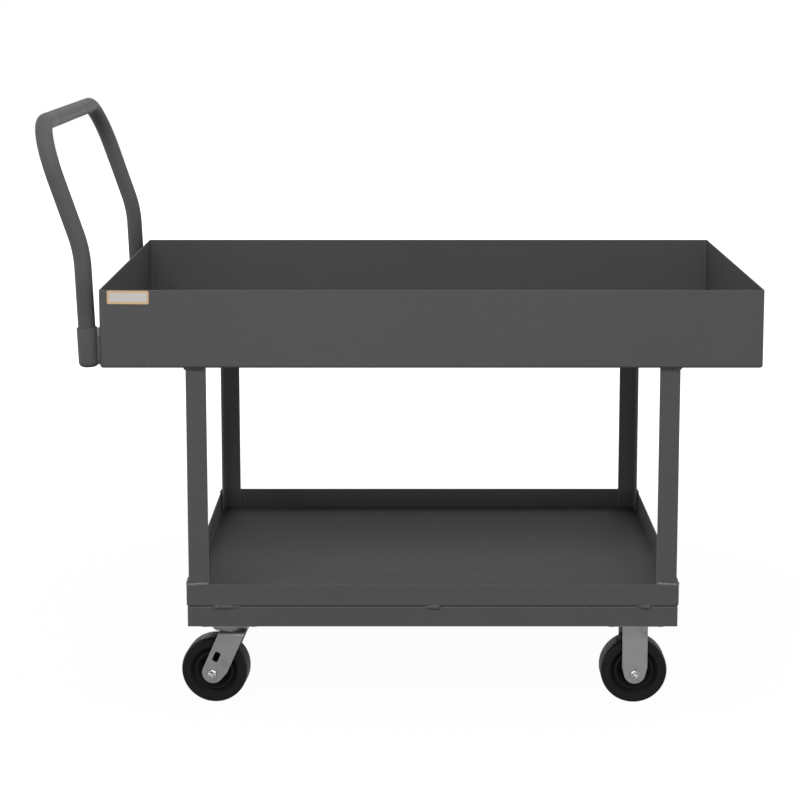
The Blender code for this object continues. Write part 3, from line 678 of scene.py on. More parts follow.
def handle():
    foot_height = SOCKET_FLOOR + SEAT
    top_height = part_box("push_handle")[1].z - TUBE_RADIUS
    lower = slope_in_plane(SOCKET_LEAN)
    upper = slope_in_plane(RAKE)
    side = Vector((0.0, 1.0, 0.0))
    foot = Vector((socket_x, -socket_y, tray_low.z)) + lower * (foot_height / lower.z)
    knee = foot + lower * ((KNEE_HEIGHT - foot.z) / lower.z)
    top = knee + upper * ((top_height - KNEE_HEIGHT) / upper.z)
    knee_reach = KNEE_RADIUS * math.tan((RAKE - SOCKET_LEAN) / 2)
    bm = bmesh.new()
    tilt = Matrix.Translation(foot) @ Matrix.Rotation(-SOCKET_LEAN, 4, "Y")
    bmesh.ops.create_circle(bm, segments=TUBE_SIDES, radius=TUBE_RADIUS, matrix=tilt)
    edges = push_ring(bm, list(bm.edges), knee - lower * knee_reach - foot)
    inward = Vector((-math.cos(SOCKET_LEAN), 0.0, -math.sin(SOCKET_LEAN)))
    centre = knee - lower * knee_reach + inward * KNEE_RADIUS
    edges = bend_ring(bm, edges, centre, (0.0, 1.0, 0.0), SOCKET_LEAN - RAKE, KNEE_STEPS)
    edges = push_ring(bm, edges, top - knee - upper * (knee_reach + TOP_RADIUS))
    corner = top - upper * TOP_RADIUS + side * TOP_RADIUS
    edges = bend_ring(bm, edges, corner, upper.cross(side), math.pi / 2, TOP_STEPS)
    push_ring(bm, edges, side * (socket_y - TOP_RADIUS))
    mirror_half(bm)
    piece = keep("handle_tube", bm, [PAINT], "push_handle", ["push_handle"])
    wall = piece.modifiers.new("tube_wall", "SOLIDIFY")
    wall.thickness = TUBE_WALL
    wall.offset = -1.0
    return piece


handle()

# %% [markdown]
# ## Handle sockets
# Each end of the handle drops into a short tube with a rounded foot, welded to the tray's end with a
# slight lean. Spinning half of its section round the upright axis makes the cup, its drain hole and
# its rolled lip together, which is how it would be turned on a lathe.

# %% Sockets
SOCKET_LENGTH = 0.0740
SOCKET_BORE = 0.0163
SOCKET_DRAIN = 0.0040
SOCKET_FOOT_ROUND = 0.0095
LIP_ROUND = 0.0008
TURN_STEPS = 56


def socket(name, side_y):
    corners = [
        (SOCKET_DRAIN, 0.0, LIP_ROUND),
        (SOCKET_RADIUS, 0.0, SOCKET_FOOT_ROUND),
        (SOCKET_RADIUS, SOCKET_LENGTH, LIP_ROUND),
        (SOCKET_BORE, SOCKET_LENGTH, LIP_ROUND),
        (SOCKET_BORE, SOCKET_FLOOR, 0.0),
        (SOCKET_DRAIN, SOCKET_FLOOR, 0.0),
    ]
    bm = lathe(corners, TURN_STEPS, 5)
    foot = Matrix.Translation((socket_x, side_y * socket_y, tray_low.z))
    put(bm, foot @ Matrix.Rotation(-SOCKET_LEAN, 4, "Y"))
    return keep(name + "_cup", bm, [PAINT], "frame", [name])


for side_name, side_y in SIDES:
    socket(f"handle_socket_{side_name}", side_y)

# %% [markdown]
# ## Weld beads
# Beads are what tells a welded cart from a moulded one. A bead is a rope of overlapping puddles, so
# a ring of edges is pushed forward in small steps while it swells and shrinks, once for each puddle.
# Each bead lies in a real corner between two pieces and covers the gap between them. Its lead and
# tail are the shares of its length over which it swells and fades. A seeded random draw makes the
# hand's unevenness the same on every run.

# %% A rippled bead between two points
BEAD_SIDES = 10
PUDDLE = 0.0024
PUDDLE_STEPS = 4
FEWEST_PUDDLES = 4
PUDDLE_SWELL = 0.20
PUDDLE_WOBBLE = (0.80, 1.15)
BEAD_TIP = 0.3
EVEN = (0.9, 0.12, 0.12)
draw = random.Random(11)


def bead(bm, start, end, radius, puddle, depth, lead, tail):
    """Adds one weld bead, this deep for its height, from a swelling lead to a fading tail."""
    run = end - start
    puddles = max(FEWEST_PUDDLES, round(run.length / puddle))
    count = puddles * PUDDLE_STEPS
    turn = run.to_track_quat("Z", "Y").to_matrix().to_4x4()
    made = bmesh.ops.create_circle(bm, segments=BEAD_SIDES, radius=radius * BEAD_TIP, cap_ends=True)
    ring = made["verts"]
    edges = [edge for edge in bm.edges if edge.verts[0] in ring and edge.verts[1] in ring]
    whole = list(ring)
    size = BEAD_TIP
    wobble = 1.0
    for step in range(1, count + 1):
        share = step / count
        if step % PUDDLE_STEPS == 1:
            wobble = draw.uniform(*PUDDLE_WOBBLE)
        arch = math.sin(math.pi * (step % PUDDLE_STEPS) / PUDDLE_STEPS)
        swell = 1.0 - PUDDLE_SWELL + PUDDLE_SWELL * arch
        ends = min(1.0, BEAD_TIP + min(share / lead, (1.0 - share) / tail))
        wanted = swell * ends * wobble
        grown = bmesh.ops.extrude_edge_only(bm, edges=edges)["geom"]
        ring = only(bmesh.types.BMVert, grown)
        edges = only(bmesh.types.BMEdge, grown)
        ratio = wanted / size
        centre = Matrix.Translation((0.0, 0.0, -run.length * (step - 1) / count))
        bmesh.ops.scale(bm, verts=ring, vec=(ratio, ratio, 1.0), space=centre)
        bmesh.ops.translate(bm, verts=ring, vec=(0.0, 0.0, run.length / count))
        whole += ring
        size = wanted
    bmesh.ops.contextual_create(bm, geom=edges)
    bmesh.ops.scale(bm, verts=whole, vec=(depth, 1.0, 1.0))
    bmesh.ops.transform(bm, matrix=Matrix.Translation(start) @ turn, verts=whole)


def beads(name, runs, radius, finish=PAINT, puddle=PUDDLE):
    """One piece out of several beads, each from (start, end, depth, lead, tail)."""
    bm = bmesh.new()
    for start, end, *shape in runs:
        bead(bm, Vector(start), Vector(end), radius, puddle, *(shape or EVEN))
    return keep(name, bm, [finish], "frame")


# %% Beads round the legs
LEG_BEAD = 0.0040
FOOT_BEAD = 0.0033
FOOT_PUDDLE = 0.0048
FOOT_OUT = 0.0030
FOOT_RISE = 0.0022
shelf_low, shelf_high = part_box("lower_shelf")

for side_name, side_y in SIDES:
    for end_name, side_x in ENDS:
        low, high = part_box(f"leg_{side_name}_{end_name}")
        heel_x, toe_x = (low.x, high.x) if side_x < 0 else (high.x, low.x)
        heel_y, toe_y = (low.y, high.y) if side_y < 0 else (high.y, low.y)
        top = high.z - LEG_BEAD / 3
        runs = [
            ((heel_x, heel_y, top), (toe_x, heel_y, top)),
            ((heel_x, heel_y, top), (heel_x, toe_y, top)),
        ]
        beads(f"weld_top_{side_name}_{end_name}", runs, LEG_BEAD)
        lip = shelf_high.z - FOOT_BEAD / 3
        lip_x = heel_x + side_x * FOOT_OUT
        lip_y = heel_y + side_y * FOOT_OUT
        runs = [
            ((lip_x, lip_y, lip), (toe_x, lip_y, lip + FOOT_RISE)),
            ((lip_x, lip_y, lip), (lip_x, toe_y, lip + FOOT_RISE)),
        ]
        beads(f"weld_foot_{side_name}_{end_name}", runs, FOOT_BEAD, BEAD_PAINT_WITH_HIGHLIGHT, FOOT_PUDDLE)

# %% [markdown]
# ## Stitches and seams
# The rails are only tacked to the shelf, with a few short beads. Each is given by where it starts and
# ends, as shares of the shelf's length or depth, and by its depth, lead and tail. The two seams of a
# socket follow its lean.

# %% Stitches and seams
STITCH_BEAD = 0.0048
LONG_STITCHES = (
    (0.055, 0.108, 0.9, 0.15, 0.85),
    (0.484, 0.516, 0.9, 0.6, 0.2),
    (0.915, 0.944, 0.9, 0.7, 0.25),
)
END_STITCHES = ((0.10, 0.13, 0.9, 0.3, 0.5), (0.86, 0.90, 0.9, 0.6, 0.3))
SEAM_BEAD = 0.0040
SEAM_LOW = 0.0090
SEAM_HIGH = 0.0590
SEAM_APART = 0.0190

rail_low, rail_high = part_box("rail_front")
line = rail_high.z + SEAT
shelf_size = shelf_high - shelf_low


def stitches(name, table, point):
    """Beads between pairs of shares of a line, which `point` turns into places."""
    runs = [(point(first), point(last), *shape) for first, last, *shape in table]
    return beads(f"weld_stitches_{name}", runs, STITCH_BEAD)


for side_name, side_y in SIDES:
    y = side_y * abs(rail_low.y)
    stitches(side_name, LONG_STITCHES, lambda share: (shelf_low.x + share * shelf_size.x, y, line))
for end_name, side_x in ENDS:
    low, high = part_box(f"rail_{end_name}")
    x = low.x if side_x < 0 else high.x
    stitches(end_name, END_STITCHES, lambda share: (x, shelf_low.y + share * shelf_size.y, line))
lean = math.tan(SOCKET_LEAN) / 2
for side_name, side_y in SIDES:
    runs = []
    for edge in (-1, 1):
        y = side_y * socket_y + edge * SEAM_APART / 2
        x = tray_low.x - SOCKET_GAP / 2
        runs.append([(x - level * lean, y, tray_low.z + level) for level in (SEAM_LOW, SEAM_HIGH)])
    beads(f"weld_socket_{side_name}", runs, SEAM_BEAD)

# %% [markdown]
# ## The name plate
# A thin plate is stuck to the tray's front, just under the rim and a hair off level. Its face has a
# golden border round a plain silver field. Two thin slabs make it, a golden one and a smaller
# silver one that stands a tenth of a millimetre proud.

# %% Name plate
PLATE_SIZE = (0.0770, 0.0252)
PLATE_CORNER = 0.0030
PLATE_THICK = 0.0006
PLATE_BORDER = 0.0040
FIELD_CORNER = 0.0012
FIELD_RISE = 0.0001
PLATE_TILT = math.radians(0.5)
ROUND_STEPS = 6
BRUSH_DEPTH = 0.00003


def plate_metal(name, dark, light, metallic):
    metal = Finish(name, metallic=metallic)
    clouds = metal.clouds(0.02, 3.0)
    brushed = metal.clouds(0.0006, 4.0, metal.stretched((0.05, 1.0, 1.0)))
    colour = metal.mix(0.6 * clouds + 0.4 * brushed, dark, light)
    return metal.paint(colour, 0.34 + 0.14 * clouds, brushed, BRUSH_DEPTH)


FIELD = plate_metal("bare_plate", grey(0.26, 0.05), grey(0.35, 0.04), 0.35)
BORDER = plate_metal("gold_border", (0.30, 0.195, 0.105, 1.0), (0.40, 0.27, 0.145, 1.0), 0.35)


def rectangle(size_x, size_z, rounding):
    """The rounded corners of a rectangle round the origin."""
    signs = ((-1, -1), (1, -1), (1, 1), (-1, 1))
    return [(x * size_x / 2, z * size_z / 2, rounding) for x, z in signs]


def slab(size_x, size_z, rounding, thickness):
    """A thin upright slab whose back is at Y = 0."""
    return extruded(rectangle(size_x, size_z, rounding), -thickness, 0.0, ROUND_STEPS)


def name_plate():
    low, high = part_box("name_plate")
    middle = Vector(((low.x + high.x) / 2, high.y, high.z - PLATE_SIZE[1] / 2 - SEAT))
    field_size = [size - 2 * PLATE_BORDER for size in PLATE_SIZE]
    field = slab(*field_size, FIELD_CORNER, PLATE_THICK)
    for face in field.faces:
        face.material_index = 1
    bm = join(field, slab(*PLATE_SIZE, PLATE_CORNER, PLATE_THICK - FIELD_RISE))
    put(bm, Matrix.Translation(middle) @ Matrix.Rotation(PLATE_TILT, 4, "Y"))
    return keep("name_plate_face", bm, [BORDER, FIELD], "frame", ["name_plate"])


name_plate()

# %% [markdown]
# ## Caster plates and skirts
# The swivel casters hang from a thick bolted plate. Under it a pressed skirt hides the ball bearing.
# The plate is a rounded rectangle with broken edges. The skirt is a turned ring, a little narrower
# at its foot.

# %% Caster frames
def fork_frame(joint):
    """The matrix of a wheel's fork: upright, at the axle, with its Y along the axle."""
    axis = Vector(joint["axis"])
    turn = Matrix.Rotation(-math.atan2(axis.x, axis.y), 4, "Z")
    return Matrix.Translation(joint["pos_m"]) @ turn


def axle_frame(joint):
    """The matrix of an axle: its Z runs out of the cart's side and its X stays level."""
    out = math.copysign(math.pi / 2, -joint["pos_m"][1])
    return fork_frame(joint) @ Matrix.Rotation(out, 4, "X")


axles = {}
for side_name, _ in SIDES:
    for end_name, _ in ENDS:
        place = f"{side_name}_{end_name}"
        axles[place] = axle_frame(joints[place + "_wheel_spin"])
print("wheels stand at", [[round(part, 3) for part in axle.translation] for axle in axles.values()])

# %% Swivel plates
CASTER_HEIGHT = 0.1651
PLATE_THICKNESS = 0.0063
PLATE_X = 0.1140
PLATE_Y = 0.1020
PLATE_ROUND = 0.0080
PLATE_EDGE = 0.0007
CROWN_TOP = 0.1450
RACE_TOP = 0.1482
SKIRT_TOP = 0.0410
SKIRT_FOOT = 0.0375
SKIRT_WALL = 0.0022
SKIRT_CLEARANCE = 0.0012
SKIRT_EDGE = 0.0006
EDGE_STEPS = 3
LAID_FLAT = Matrix(((1, 0, 0, 0), (0, 0, 1, 0), (0, 1, 0, 0), (0, 0, 0, 1)))
plate_bottom = CASTER_HEIGHT - PLATE_THICKNESS


def mounting_plate():
    """A level plate with rounded corners and broken edges, which both kinds of caster have."""
    corners = rectangle(PLATE_X, PLATE_Y, PLATE_ROUND)
    bm = extruded(corners, plate_bottom, CASTER_HEIGHT, ROUND_STEPS)
    put(bm, LAID_FLAT)
    return soften(bm, PLATE_EDGE)


def swivel_plate(side_name, post):
    foot = CROWN_TOP + SKIRT_CLEARANCE
    sunk = plate_bottom + PLATE_THICKNESS / 2
    inside = SKIRT_FOOT - SKIRT_WALL
    corners = [
        (inside, foot, SKIRT_EDGE),
        (SKIRT_FOOT, foot, SKIRT_EDGE),
        (SKIRT_TOP, plate_bottom, 0.0),
        (SKIRT_TOP, sunk, 0.0),
        (inside, sunk, 0.0),
    ]
    bm = join(mounting_plate(), lathe(corners, TURN_STEPS, EDGE_STEPS))
    put(bm, post)
    name = f"swivel_plate_{side_name}"
    return keep(name + "_body", bm, [ZINC], "frame", [name])


posts = {}
for side_name, _ in SIDES:
    pivot = Vector(joints[f"{side_name}_caster_swivel"]["pos_m"])
    posts[side_name + "_left"] = Matrix.Translation((pivot.x, pivot.y, 0.0))
    wheel_middle = axles[side_name + "_right"].translation
    posts[side_name + "_right"] = Matrix.Translation((wheel_middle.x, wheel_middle.y, 0.0))
    swivel_plate(side_name, posts[side_name + "_left"])

# %% [markdown]
# ## Forks
# A fork is one strap bent over the wheel. Each leg is cut out flat first, with its round tip, its
# axle hole and the slot of the swivel fork. Then it gets its thickness, its top strip is spun
# through a quarter turn to make the bend, the crown is pushed to the middle, and a mirror makes the
# other leg. A shear carries the raked edges on over the bend.

# %% A fork's leg as a flat outline
FORK_HALF = 0.0400
FORK_WALL = 0.0050
FORK_BEND = 0.0070
FORK_TIP = 0.0205
FORK_EDGE = 0.0006
FORK_BEND_STEPS = 8
TIP_STEPS = 28
TRAIL = 0.0300
CROWN_BACK = 0.0165
CROWN_FRONT = 0.0335
HEEL_X = 0.0280
HEEL_Z = 0.0010
AXLE_HOLE = 0.0051
HOLE_SIDES = 24
SLOT_SIZE = (0.0110, 0.0200)
SLOT_ROUND = 0.0030
SLOT_PLACE = (0.0074, 0.0315)
SLOT_STEPS = 5
RIGID_HALF = 0.0240
RIGID_TAPER = 0.0110
RIGID_SINK = 0.0030
WHEEL_RADIUS = 0.0635
SLOPE = (CROWN_FRONT + TRAIL - HEEL_X) / (CROWN_TOP - WHEEL_RADIUS - HEEL_Z)


def tangent(point, side):
    """Where the line from this (x, z) point touches the fork's round tip, as an angle."""
    reach = math.hypot(*point)
    return math.atan2(point[1], point[0]) % (2 * math.pi) + side * math.acos(FORK_TIP / reach)


def loop_of(bm, points):
    """A closed loop of edges through (x, z) points."""
    verts = [bm.verts.new((x, 0.0, z)) for x, z in points]
    return [bm.edges.new((verts[index - 1], verts[index])) for index in range(len(verts))]


def arc(radius, first, last, steps):
    angles = [first + (last - first) * step / steps for step in range(steps + 1)]
    return [(radius * math.cos(angle), radius * math.sin(angle)) for angle in angles]


def axle_hole():
    return arc(AXLE_HOLE, 0.0, 2 * math.pi * (HOLE_SIDES - 1) / HOLE_SIDES, HOLE_SIDES - 1)


def rounded_slot():
    outline = []
    half_x, half_z = SLOT_SIZE[0] / 2, SLOT_SIZE[1] / 2
    turn = Matrix.Rotation(-math.atan(SLOPE), 2)
    for quarter, (x, z) in enumerate(((1, 1), (-1, 1), (-1, -1), (1, -1))):
        first = quarter * math.pi / 2
        for dx, dz in arc(SLOT_ROUND, first, first + math.pi / 2, SLOT_STEPS):
            point = turn @ Vector((x * (half_x - SLOT_ROUND) + dx, z * (half_z - SLOT_ROUND) + dz))
            outline.append((point.x + SLOT_PLACE[0], point.y + SLOT_PLACE[1]))
    return outline


# %% From outline to fork
def fork_strap(back, front, top, holes, shear):
    """Both legs and the crown, round the axle at the origin, with the crown's top this high."""
    first = tangent(back[-1], 1)
    last = tangent(front[-1], -1) + 2 * math.pi
    rim = back + arc(FORK_TIP, first, last, TIP_STEPS) + front[::-1]
    bm = bmesh.new()
    edges = loop_of(bm, rim)
    for hole in holes:
        edges += loop_of(bm, hole)
    bmesh.ops.triangle_fill(bm, edges=edges, use_beauty=True, normal=(0.0, 1.0, 0.0))
    bmesh.ops.translate(bm, verts=bm.verts, vec=(0.0, -FORK_HALF, 0.0))
    thicken(bm, FORK_WALL)
    bm.normal_update()
    strip = max(bm.faces, key=lambda face: (face.calc_center_median().z, face.calc_area()))
    start = top - FORK_BEND
    last = bmesh.ops.spin(
        bm,
        geom=[strip],
        cent=(0.0, FORK_BEND - FORK_HALF, start),
        axis=(1.0, 0.0, 0.0),
        angle=-math.pi / 2,
        steps=FORK_BEND_STEPS,
        use_merge=False,
    )["geom_last"]
    end = only(bmesh.types.BMFace, last)
    if strip.is_valid and strip not in end:
        bmesh.ops.delete(bm, geom=[strip], context="FACES_ONLY")
    grown = bmesh.ops.extrude_discrete_faces(bm, faces=end)["faces"]
    for face in grown:
        for vert in face.verts:
            vert.co.y = 0.0
    bmesh.ops.delete(bm, geom=grown, context="FACES_ONLY")
    for vert in bm.verts:
        vert.co.x += shear * max(0.0, vert.co.z - start)
    mirror_half(bm)
    return soften(bm, FORK_EDGE)


# %% The swivel and rigid forks
RACE_BORE = 0.0066
RACE_RADIUS = 0.0345
RACE_EDGE = 0.0006
TRACK_RADII = (0.0318, 0.0285, 0.0252)
TRACK_DEPTH = 0.0018
TRACK_ROUND = 0.0014
TRACK_EDGE = 0.0004


def swivel_fork(side_name):
    rise = CROWN_TOP - WHEEL_RADIUS
    low = rise - FORK_BEND
    shift = SLOPE * FORK_BEND
    back = [(TRAIL - CROWN_BACK - shift, low)]
    front = [(TRAIL + CROWN_FRONT - shift, low), (HEEL_X, HEEL_Z)]
    strap = fork_strap(back, front, rise, [axle_hole(), rounded_slot()], SLOPE)
    put(strap, fork_frame(joints[f"{side_name}_left_wheel_spin"]))
    outer, middle, inner = TRACK_RADII
    corners = [
        (RACE_BORE, RACE_TOP, 0.0),
        (RACE_BORE, CROWN_TOP - FORK_WALL / 2, 0.0),
        (RACE_RADIUS, CROWN_TOP - FORK_WALL / 2, 0.0),
        (RACE_RADIUS, RACE_TOP, RACE_EDGE),
        (outer, RACE_TOP, TRACK_EDGE),
        (middle, RACE_TOP - TRACK_DEPTH, TRACK_ROUND),
        (inner, RACE_TOP, TRACK_EDGE),
    ]
    race = put(lathe(corners, TURN_STEPS, EDGE_STEPS), posts[side_name + "_left"])
    name = f"swivel_fork_{side_name}"
    body = f"swivel_{side_name}"
    return keep(name + "_strap", join(strap, race), [ZINC], body, [name])


def rigid_fork(side_name):
    top = plate_bottom + RIGID_SINK - WHEEL_RADIUS
    low = top - FORK_BEND
    back = [(-RIGID_HALF, low), (-RIGID_HALF, RIGID_TAPER)]
    front = [(RIGID_HALF, low), (RIGID_HALF, RIGID_TAPER)]
    strap = fork_strap(back, front, top, [axle_hole()], 0.0)
    bmesh.ops.translate(strap, verts=strap.verts, vec=(0.0, 0.0, WHEEL_RADIUS))
    bm = put(join(strap, mounting_plate()), posts[side_name + "_right"])
    name = f"rigid_fork_{side_name}"
    return keep(name + "_strap", bm, [ZINC], "frame", [name])


for side_name, _ in SIDES:
    swivel_fork(side_name)
    rigid_fork(side_name)

# %% [markdown]
# ## Moulded wheels
# The wheels are pressed from fibre-filled resin in a hot mould. They come out nearly black, with a
# flat tread, rounded shoulders, a ring-shaped groove in each face, and a hub in a shallow recess. A
# turned section gives all of that. The finish has the flow marks of the mould as rings round the
# axle, and pale dust on the raised rings, while the groove stays black. The pale colour is dust
# and also painted light, and the black groove between is painted shade. So each wheel has its own
# material, whose pattern a Mapping node centres on that axle.

# %% Phenolic resin
RESIN = grey(0.0015)
RESIN_PALE = grey(0.0035)
# The paler shade of the raised rings is dust and also painted light.
RESIN_DUST_AND_PAINTED_LIGHT = grey(0.011, 0.01)
RESIN_SCUFF = grey(0.030, 0.02)
FACE_INNER = 0.0455
GROOVE_INNER = 0.0370
RIB_INNER = 0.0335
RING_FADE = 0.0008
RING_RATE = 2600.0
SWEEP_RATE = 25.0
TREAD_FADE = (0.0600, 0.0632)
FLOW_DEPTH = 0.00012


def phenolic(place, axle):
    resin = Finish(f"black_phenolic_{place}", specular=0.06)
    back = axle.inverted()
    inputs = {"Vector": resin.place, "Location": back.translation, "Rotation": back.to_euler()}
    centred = resin.node("ShaderNodeMapping", {"vector_type": "POINT"}, inputs)
    round_axle = resin.node("ShaderNodeTexGradient", {"gradient_type": "RADIAL"}, {"Vector": centred})
    inputs = {0: centred, 1: (1.0, 1.0, 0.0)}
    flat = resin.node("ShaderNodeVectorMath", {"operation": "MULTIPLY"}, inputs)
    length = resin.node("ShaderNodeVectorMath", {"operation": "LENGTH"}, {0: flat}, output="Value")
    rings = resin.node("ShaderNodeMath", {"operation": "SINE"}, {0: length * RING_RATE})
    flecks = resin.clouds(0.0016, 3.0)
    clouds = resin.clouds(0.02, 4.0)
    sweep = resin.node("ShaderNodeMath", {"operation": "SINE"}, {0: round_axle * SWEEP_RATE})
    tread = resin.rise(length, *TREAD_FADE)
    scuffs = tread * resin.rise(resin.clouds(0.004, 4.0), 0.42, 0.62)
    shade = resin.mix(0.5 * flecks + 0.4 * clouds + 0.04 * sweep, RESIN, RESIN_PALE)
    face = resin.rise(length, FACE_INNER, FACE_INNER + RING_FADE)
    outside = resin.rise(length, RIB_INNER - RING_FADE, RIB_INNER)
    rib = outside * resin.rise(length, GROOVE_INNER + RING_FADE, GROOVE_INNER)
    # Raised rings get dust and painted light, which leaves the groove as painted shade.
    dust_and_groove_shade = resin.mix((face + rib) * (0.5 + 0.5 * clouds), shade, RESIN_DUST_AND_PAINTED_LIGHT)
    worn = resin.edges(0.52, 0.60) * 0.5 * flecks + 0.35 * scuffs
    colour = resin.mix(worn, dust_and_groove_shade, RESIN_SCUFF)
    roughness = 0.40 + 0.12 * clouds + 0.10 * scuffs
    return resin.paint(colour, roughness, 0.12 * rings + 0.5 * flecks + 0.2 * scuffs, FLOW_DEPTH)


# %% Wheels
WHEEL_WIDTH = 0.0508
TREAD_WIDTH = 0.0360
SHOULDER_DROP = 0.0050
SHOULDER_STEPS = 8
GROOVE_DEPTH = 0.0050
RIB_SINK = 0.0020
RECESS = 0.0085
HUB_RADIUS = 0.0180
HUB_HALF = 0.0345
BORE = 0.0091
FACE_ROUND = 0.0008
GROOVE_ROUND = 0.0012
RIB_ROUND = 0.0007
RECESS_ROUND = 0.0024
HUB_ROUND = 0.0010
WHEEL_STEPS = 96


def wheel(place):
    half = WHEEL_WIDTH / 2
    shoulder = half - TREAD_WIDTH / 2
    side = []
    for step in range(SHOULDER_STEPS + 1):
        angle = math.pi / 2 * step / SHOULDER_STEPS
        radius = WHEEL_RADIUS - SHOULDER_DROP * (1.0 - math.cos(angle))
        side.append((radius, half - shoulder * (1.0 - math.sin(angle)), 0.0))
    side += [
        (FACE_INNER, half, FACE_ROUND),
        (GROOVE_INNER, half - GROOVE_DEPTH, GROOVE_ROUND),
        (GROOVE_INNER, half - RIB_SINK, RIB_ROUND),
        (RIB_INNER, half - RIB_SINK, RIB_ROUND),
        (HUB_RADIUS, half - RECESS, RECESS_ROUND),
        (HUB_RADIUS, HUB_HALF, HUB_ROUND),
        (BORE, HUB_HALF, 0.0),
    ]
    corners = side + [(radius, -height, rounding) for radius, height, rounding in reversed(side)]
    bm = put(lathe(corners, WHEEL_STEPS, 4), axles[place])
    resin = phenolic(place, axles[place])
    return keep(f"wheel_{place}_tyre", bm, [resin], f"wheel_{place}", [f"wheel_{place}"])


for place in axles:
    wheel(place)

# %% [markdown]
# ## Axles, nuts and bolts
# Each wheel turns on a sleeve held by a hexagon bolt and a lock nut, whose collar and thread end
# stand out on the side of the cart. Round-headed bolts hold the caster plates. A cylinder with six
# sides and bevelled rims makes a hexagon that reads as machined.

# %% Hexagons and domes
AXLE_ACROSS = 0.0150
AXLE_HEAD = 0.0064
AXLE_NUT = 0.0075
COLLAR = 0.0030
COLLAR_RADIUS = 0.0065
AXLE_RADIUS = 0.00475
AXLE_END = 0.0015
HEX_CHAMFER = 0.0009
COLLAR_ROUND = 0.0010
COLLAR_EDGE = 0.0003
COLLAR_STEPS = 32
THREAD_PITCH = 0.0015
THREAD_TURNS = 3
THREAD_DEPTH = 0.0006
THREAD_POINT = 0.0008
THREAD_STEPS = 24


def hexagon(low, high):
    """A head or nut of the axle, between two heights."""
    bm = bmesh.new()
    radius = AXLE_ACROSS / 2 / math.cos(math.pi / 6)
    middle = Matrix.Translation((0.0, 0.0, (low + high) / 2))
    bmesh.ops.create_cone(
        bm,
        cap_ends=True,
        segments=6,
        radius1=radius,
        radius2=radius,
        depth=high - low,
        matrix=middle,
    )
    rims = [edge for edge in bm.edges if abs(edge.verts[0].co.z - edge.verts[1].co.z) < MERGE]
    bevel_edges(bm, rims, HEX_CHAMFER, 2)
    return bm


def threaded(radius, low, high):
    """A shank whose outer end is a stack of small thread crests."""
    crests = [(0.0, low, 0.0), (radius, low, 0.0)]
    for turn in range(THREAD_TURNS):
        top = high - (THREAD_TURNS - turn - 1) * THREAD_PITCH
        crests.append((radius, top - 0.8 * THREAD_PITCH, 0.0))
        crests.append((radius - THREAD_DEPTH, top - 0.4 * THREAD_PITCH, 0.0))
    crests += [(radius - THREAD_POINT, high, 0.0), (0.0, high, 0.0)]
    return lathe(crests, THREAD_STEPS, 1)


def axle_set(place, body):
    end = FORK_HALF + SEAT
    axle = axles[place]
    nut_top = end + AXLE_NUT
    collar = [
        (AXLE_RADIUS + SEAT, end + AXLE_NUT / 2, 0.0),
        (COLLAR_RADIUS, end + AXLE_NUT / 2, 0.0),
        (COLLAR_RADIUS, nut_top + COLLAR, COLLAR_ROUND),
        (AXLE_RADIUS + SEAT, nut_top + COLLAR, COLLAR_EDGE),
    ]
    nut = join(hexagon(end, nut_top), lathe(collar, COLLAR_STEPS, EDGE_STEPS))
    put(nut, axle)
    keep(f"axle_nut_{place}_hex", nut, [BRIGHT], body, [f"axle_nut_{place}"])
    head = hexagon(-end - AXLE_HEAD, -end)
    shank = threaded(AXLE_RADIUS, -end, nut_top + COLLAR + AXLE_END)
    bolt = put(join(head, shank), axle)
    keep(f"axle_bolt_{place}_hex", bolt, [BRIGHT], body, [f"axle_bolt_{place}"])


# %% Plate bolts
BOLT_SPACING = (0.0920, 0.0760)
BOLT_RADIUS = 0.0047
BOLT_HEAD = 0.0030
BOLT_HEAD_RADIUS = 0.0090
BOLT_POINT = 0.0010
BOLT_STEPS = 28
DOME_STEPS = 6


def plate_bolt(place, number, x, y):
    name = f"plate_bolt_{place}_{number}"
    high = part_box(name)[1]
    seat = plate_bottom - SEAT
    corners = [(0.0, seat - BOLT_HEAD, 0.0)]
    for step in range(1, DOME_STEPS + 1):
        angle = math.pi / 2 - step * math.pi / (2 * DOME_STEPS)
        corners.append((BOLT_HEAD_RADIUS * math.cos(angle), seat - BOLT_HEAD * math.sin(angle), 0.0))
    corners += [(BOLT_RADIUS, seat, 0.0), (BOLT_RADIUS, high.z - BOLT_POINT, 0.0)]
    corners += [(BOLT_RADIUS - BOLT_POINT, high.z, 0.0), (0.0, high.z, 0.0)]
    bm = put(lathe(corners, BOLT_STEPS, 1), posts[place] @ Matrix.Translation((x, y, 0.0)))
    return keep(name + "_dome", bm, [BRIGHT], "frame", [name])


for place in axles:
    side_name, end_name = place.split("_")
    body = f"swivel_{side_name}" if end_name == "left" else "frame"
    axle_set(place, body)
    corners = [(x * BOLT_SPACING[0] / 2, y * BOLT_SPACING[1] / 2) for y in (-1, 1) for x in (-1, 1)]
    for number, (x, y) in enumerate(corners, 1):
        plate_bolt(place, number, x, y)

# %% [markdown]
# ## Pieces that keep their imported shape
# The bolsters, the spacers behind the sockets, the kingpins, the ball rings and the axle sleeves
# already have their true shape, so they only need a finish.

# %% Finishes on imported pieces
KEPT = {
    "bolster": PAINT,
    "socket_spacer": PAINT,
    "kingpin": ZINC,
    "ball_ring": BRIGHT,
    "axle_sleeve": BRIGHT,
}
for name, node in frame["nodes"].items():
    for start, finish in KEPT.items():
        if name.startswith(start):
            for slot in node.material_slots:
                slot.material = finish
            print(name, "is finished with", finish.name)

# %% [markdown]
# ## Light and floor
# A catalogue picture lights steel from large soft boxes, so that dark paint shows its form without
# hot spots. One stands high in front, one hangs above and one shines down from behind. Four low ones
# stand round the cart, one to each side. They reach under the tray to the far legs, and keep the
# ends and the back from sinking into the dark. The floor is pale and plain. Seen from far, it turns
# as white as the backdrop, and near the cart it keeps the soft shadow.

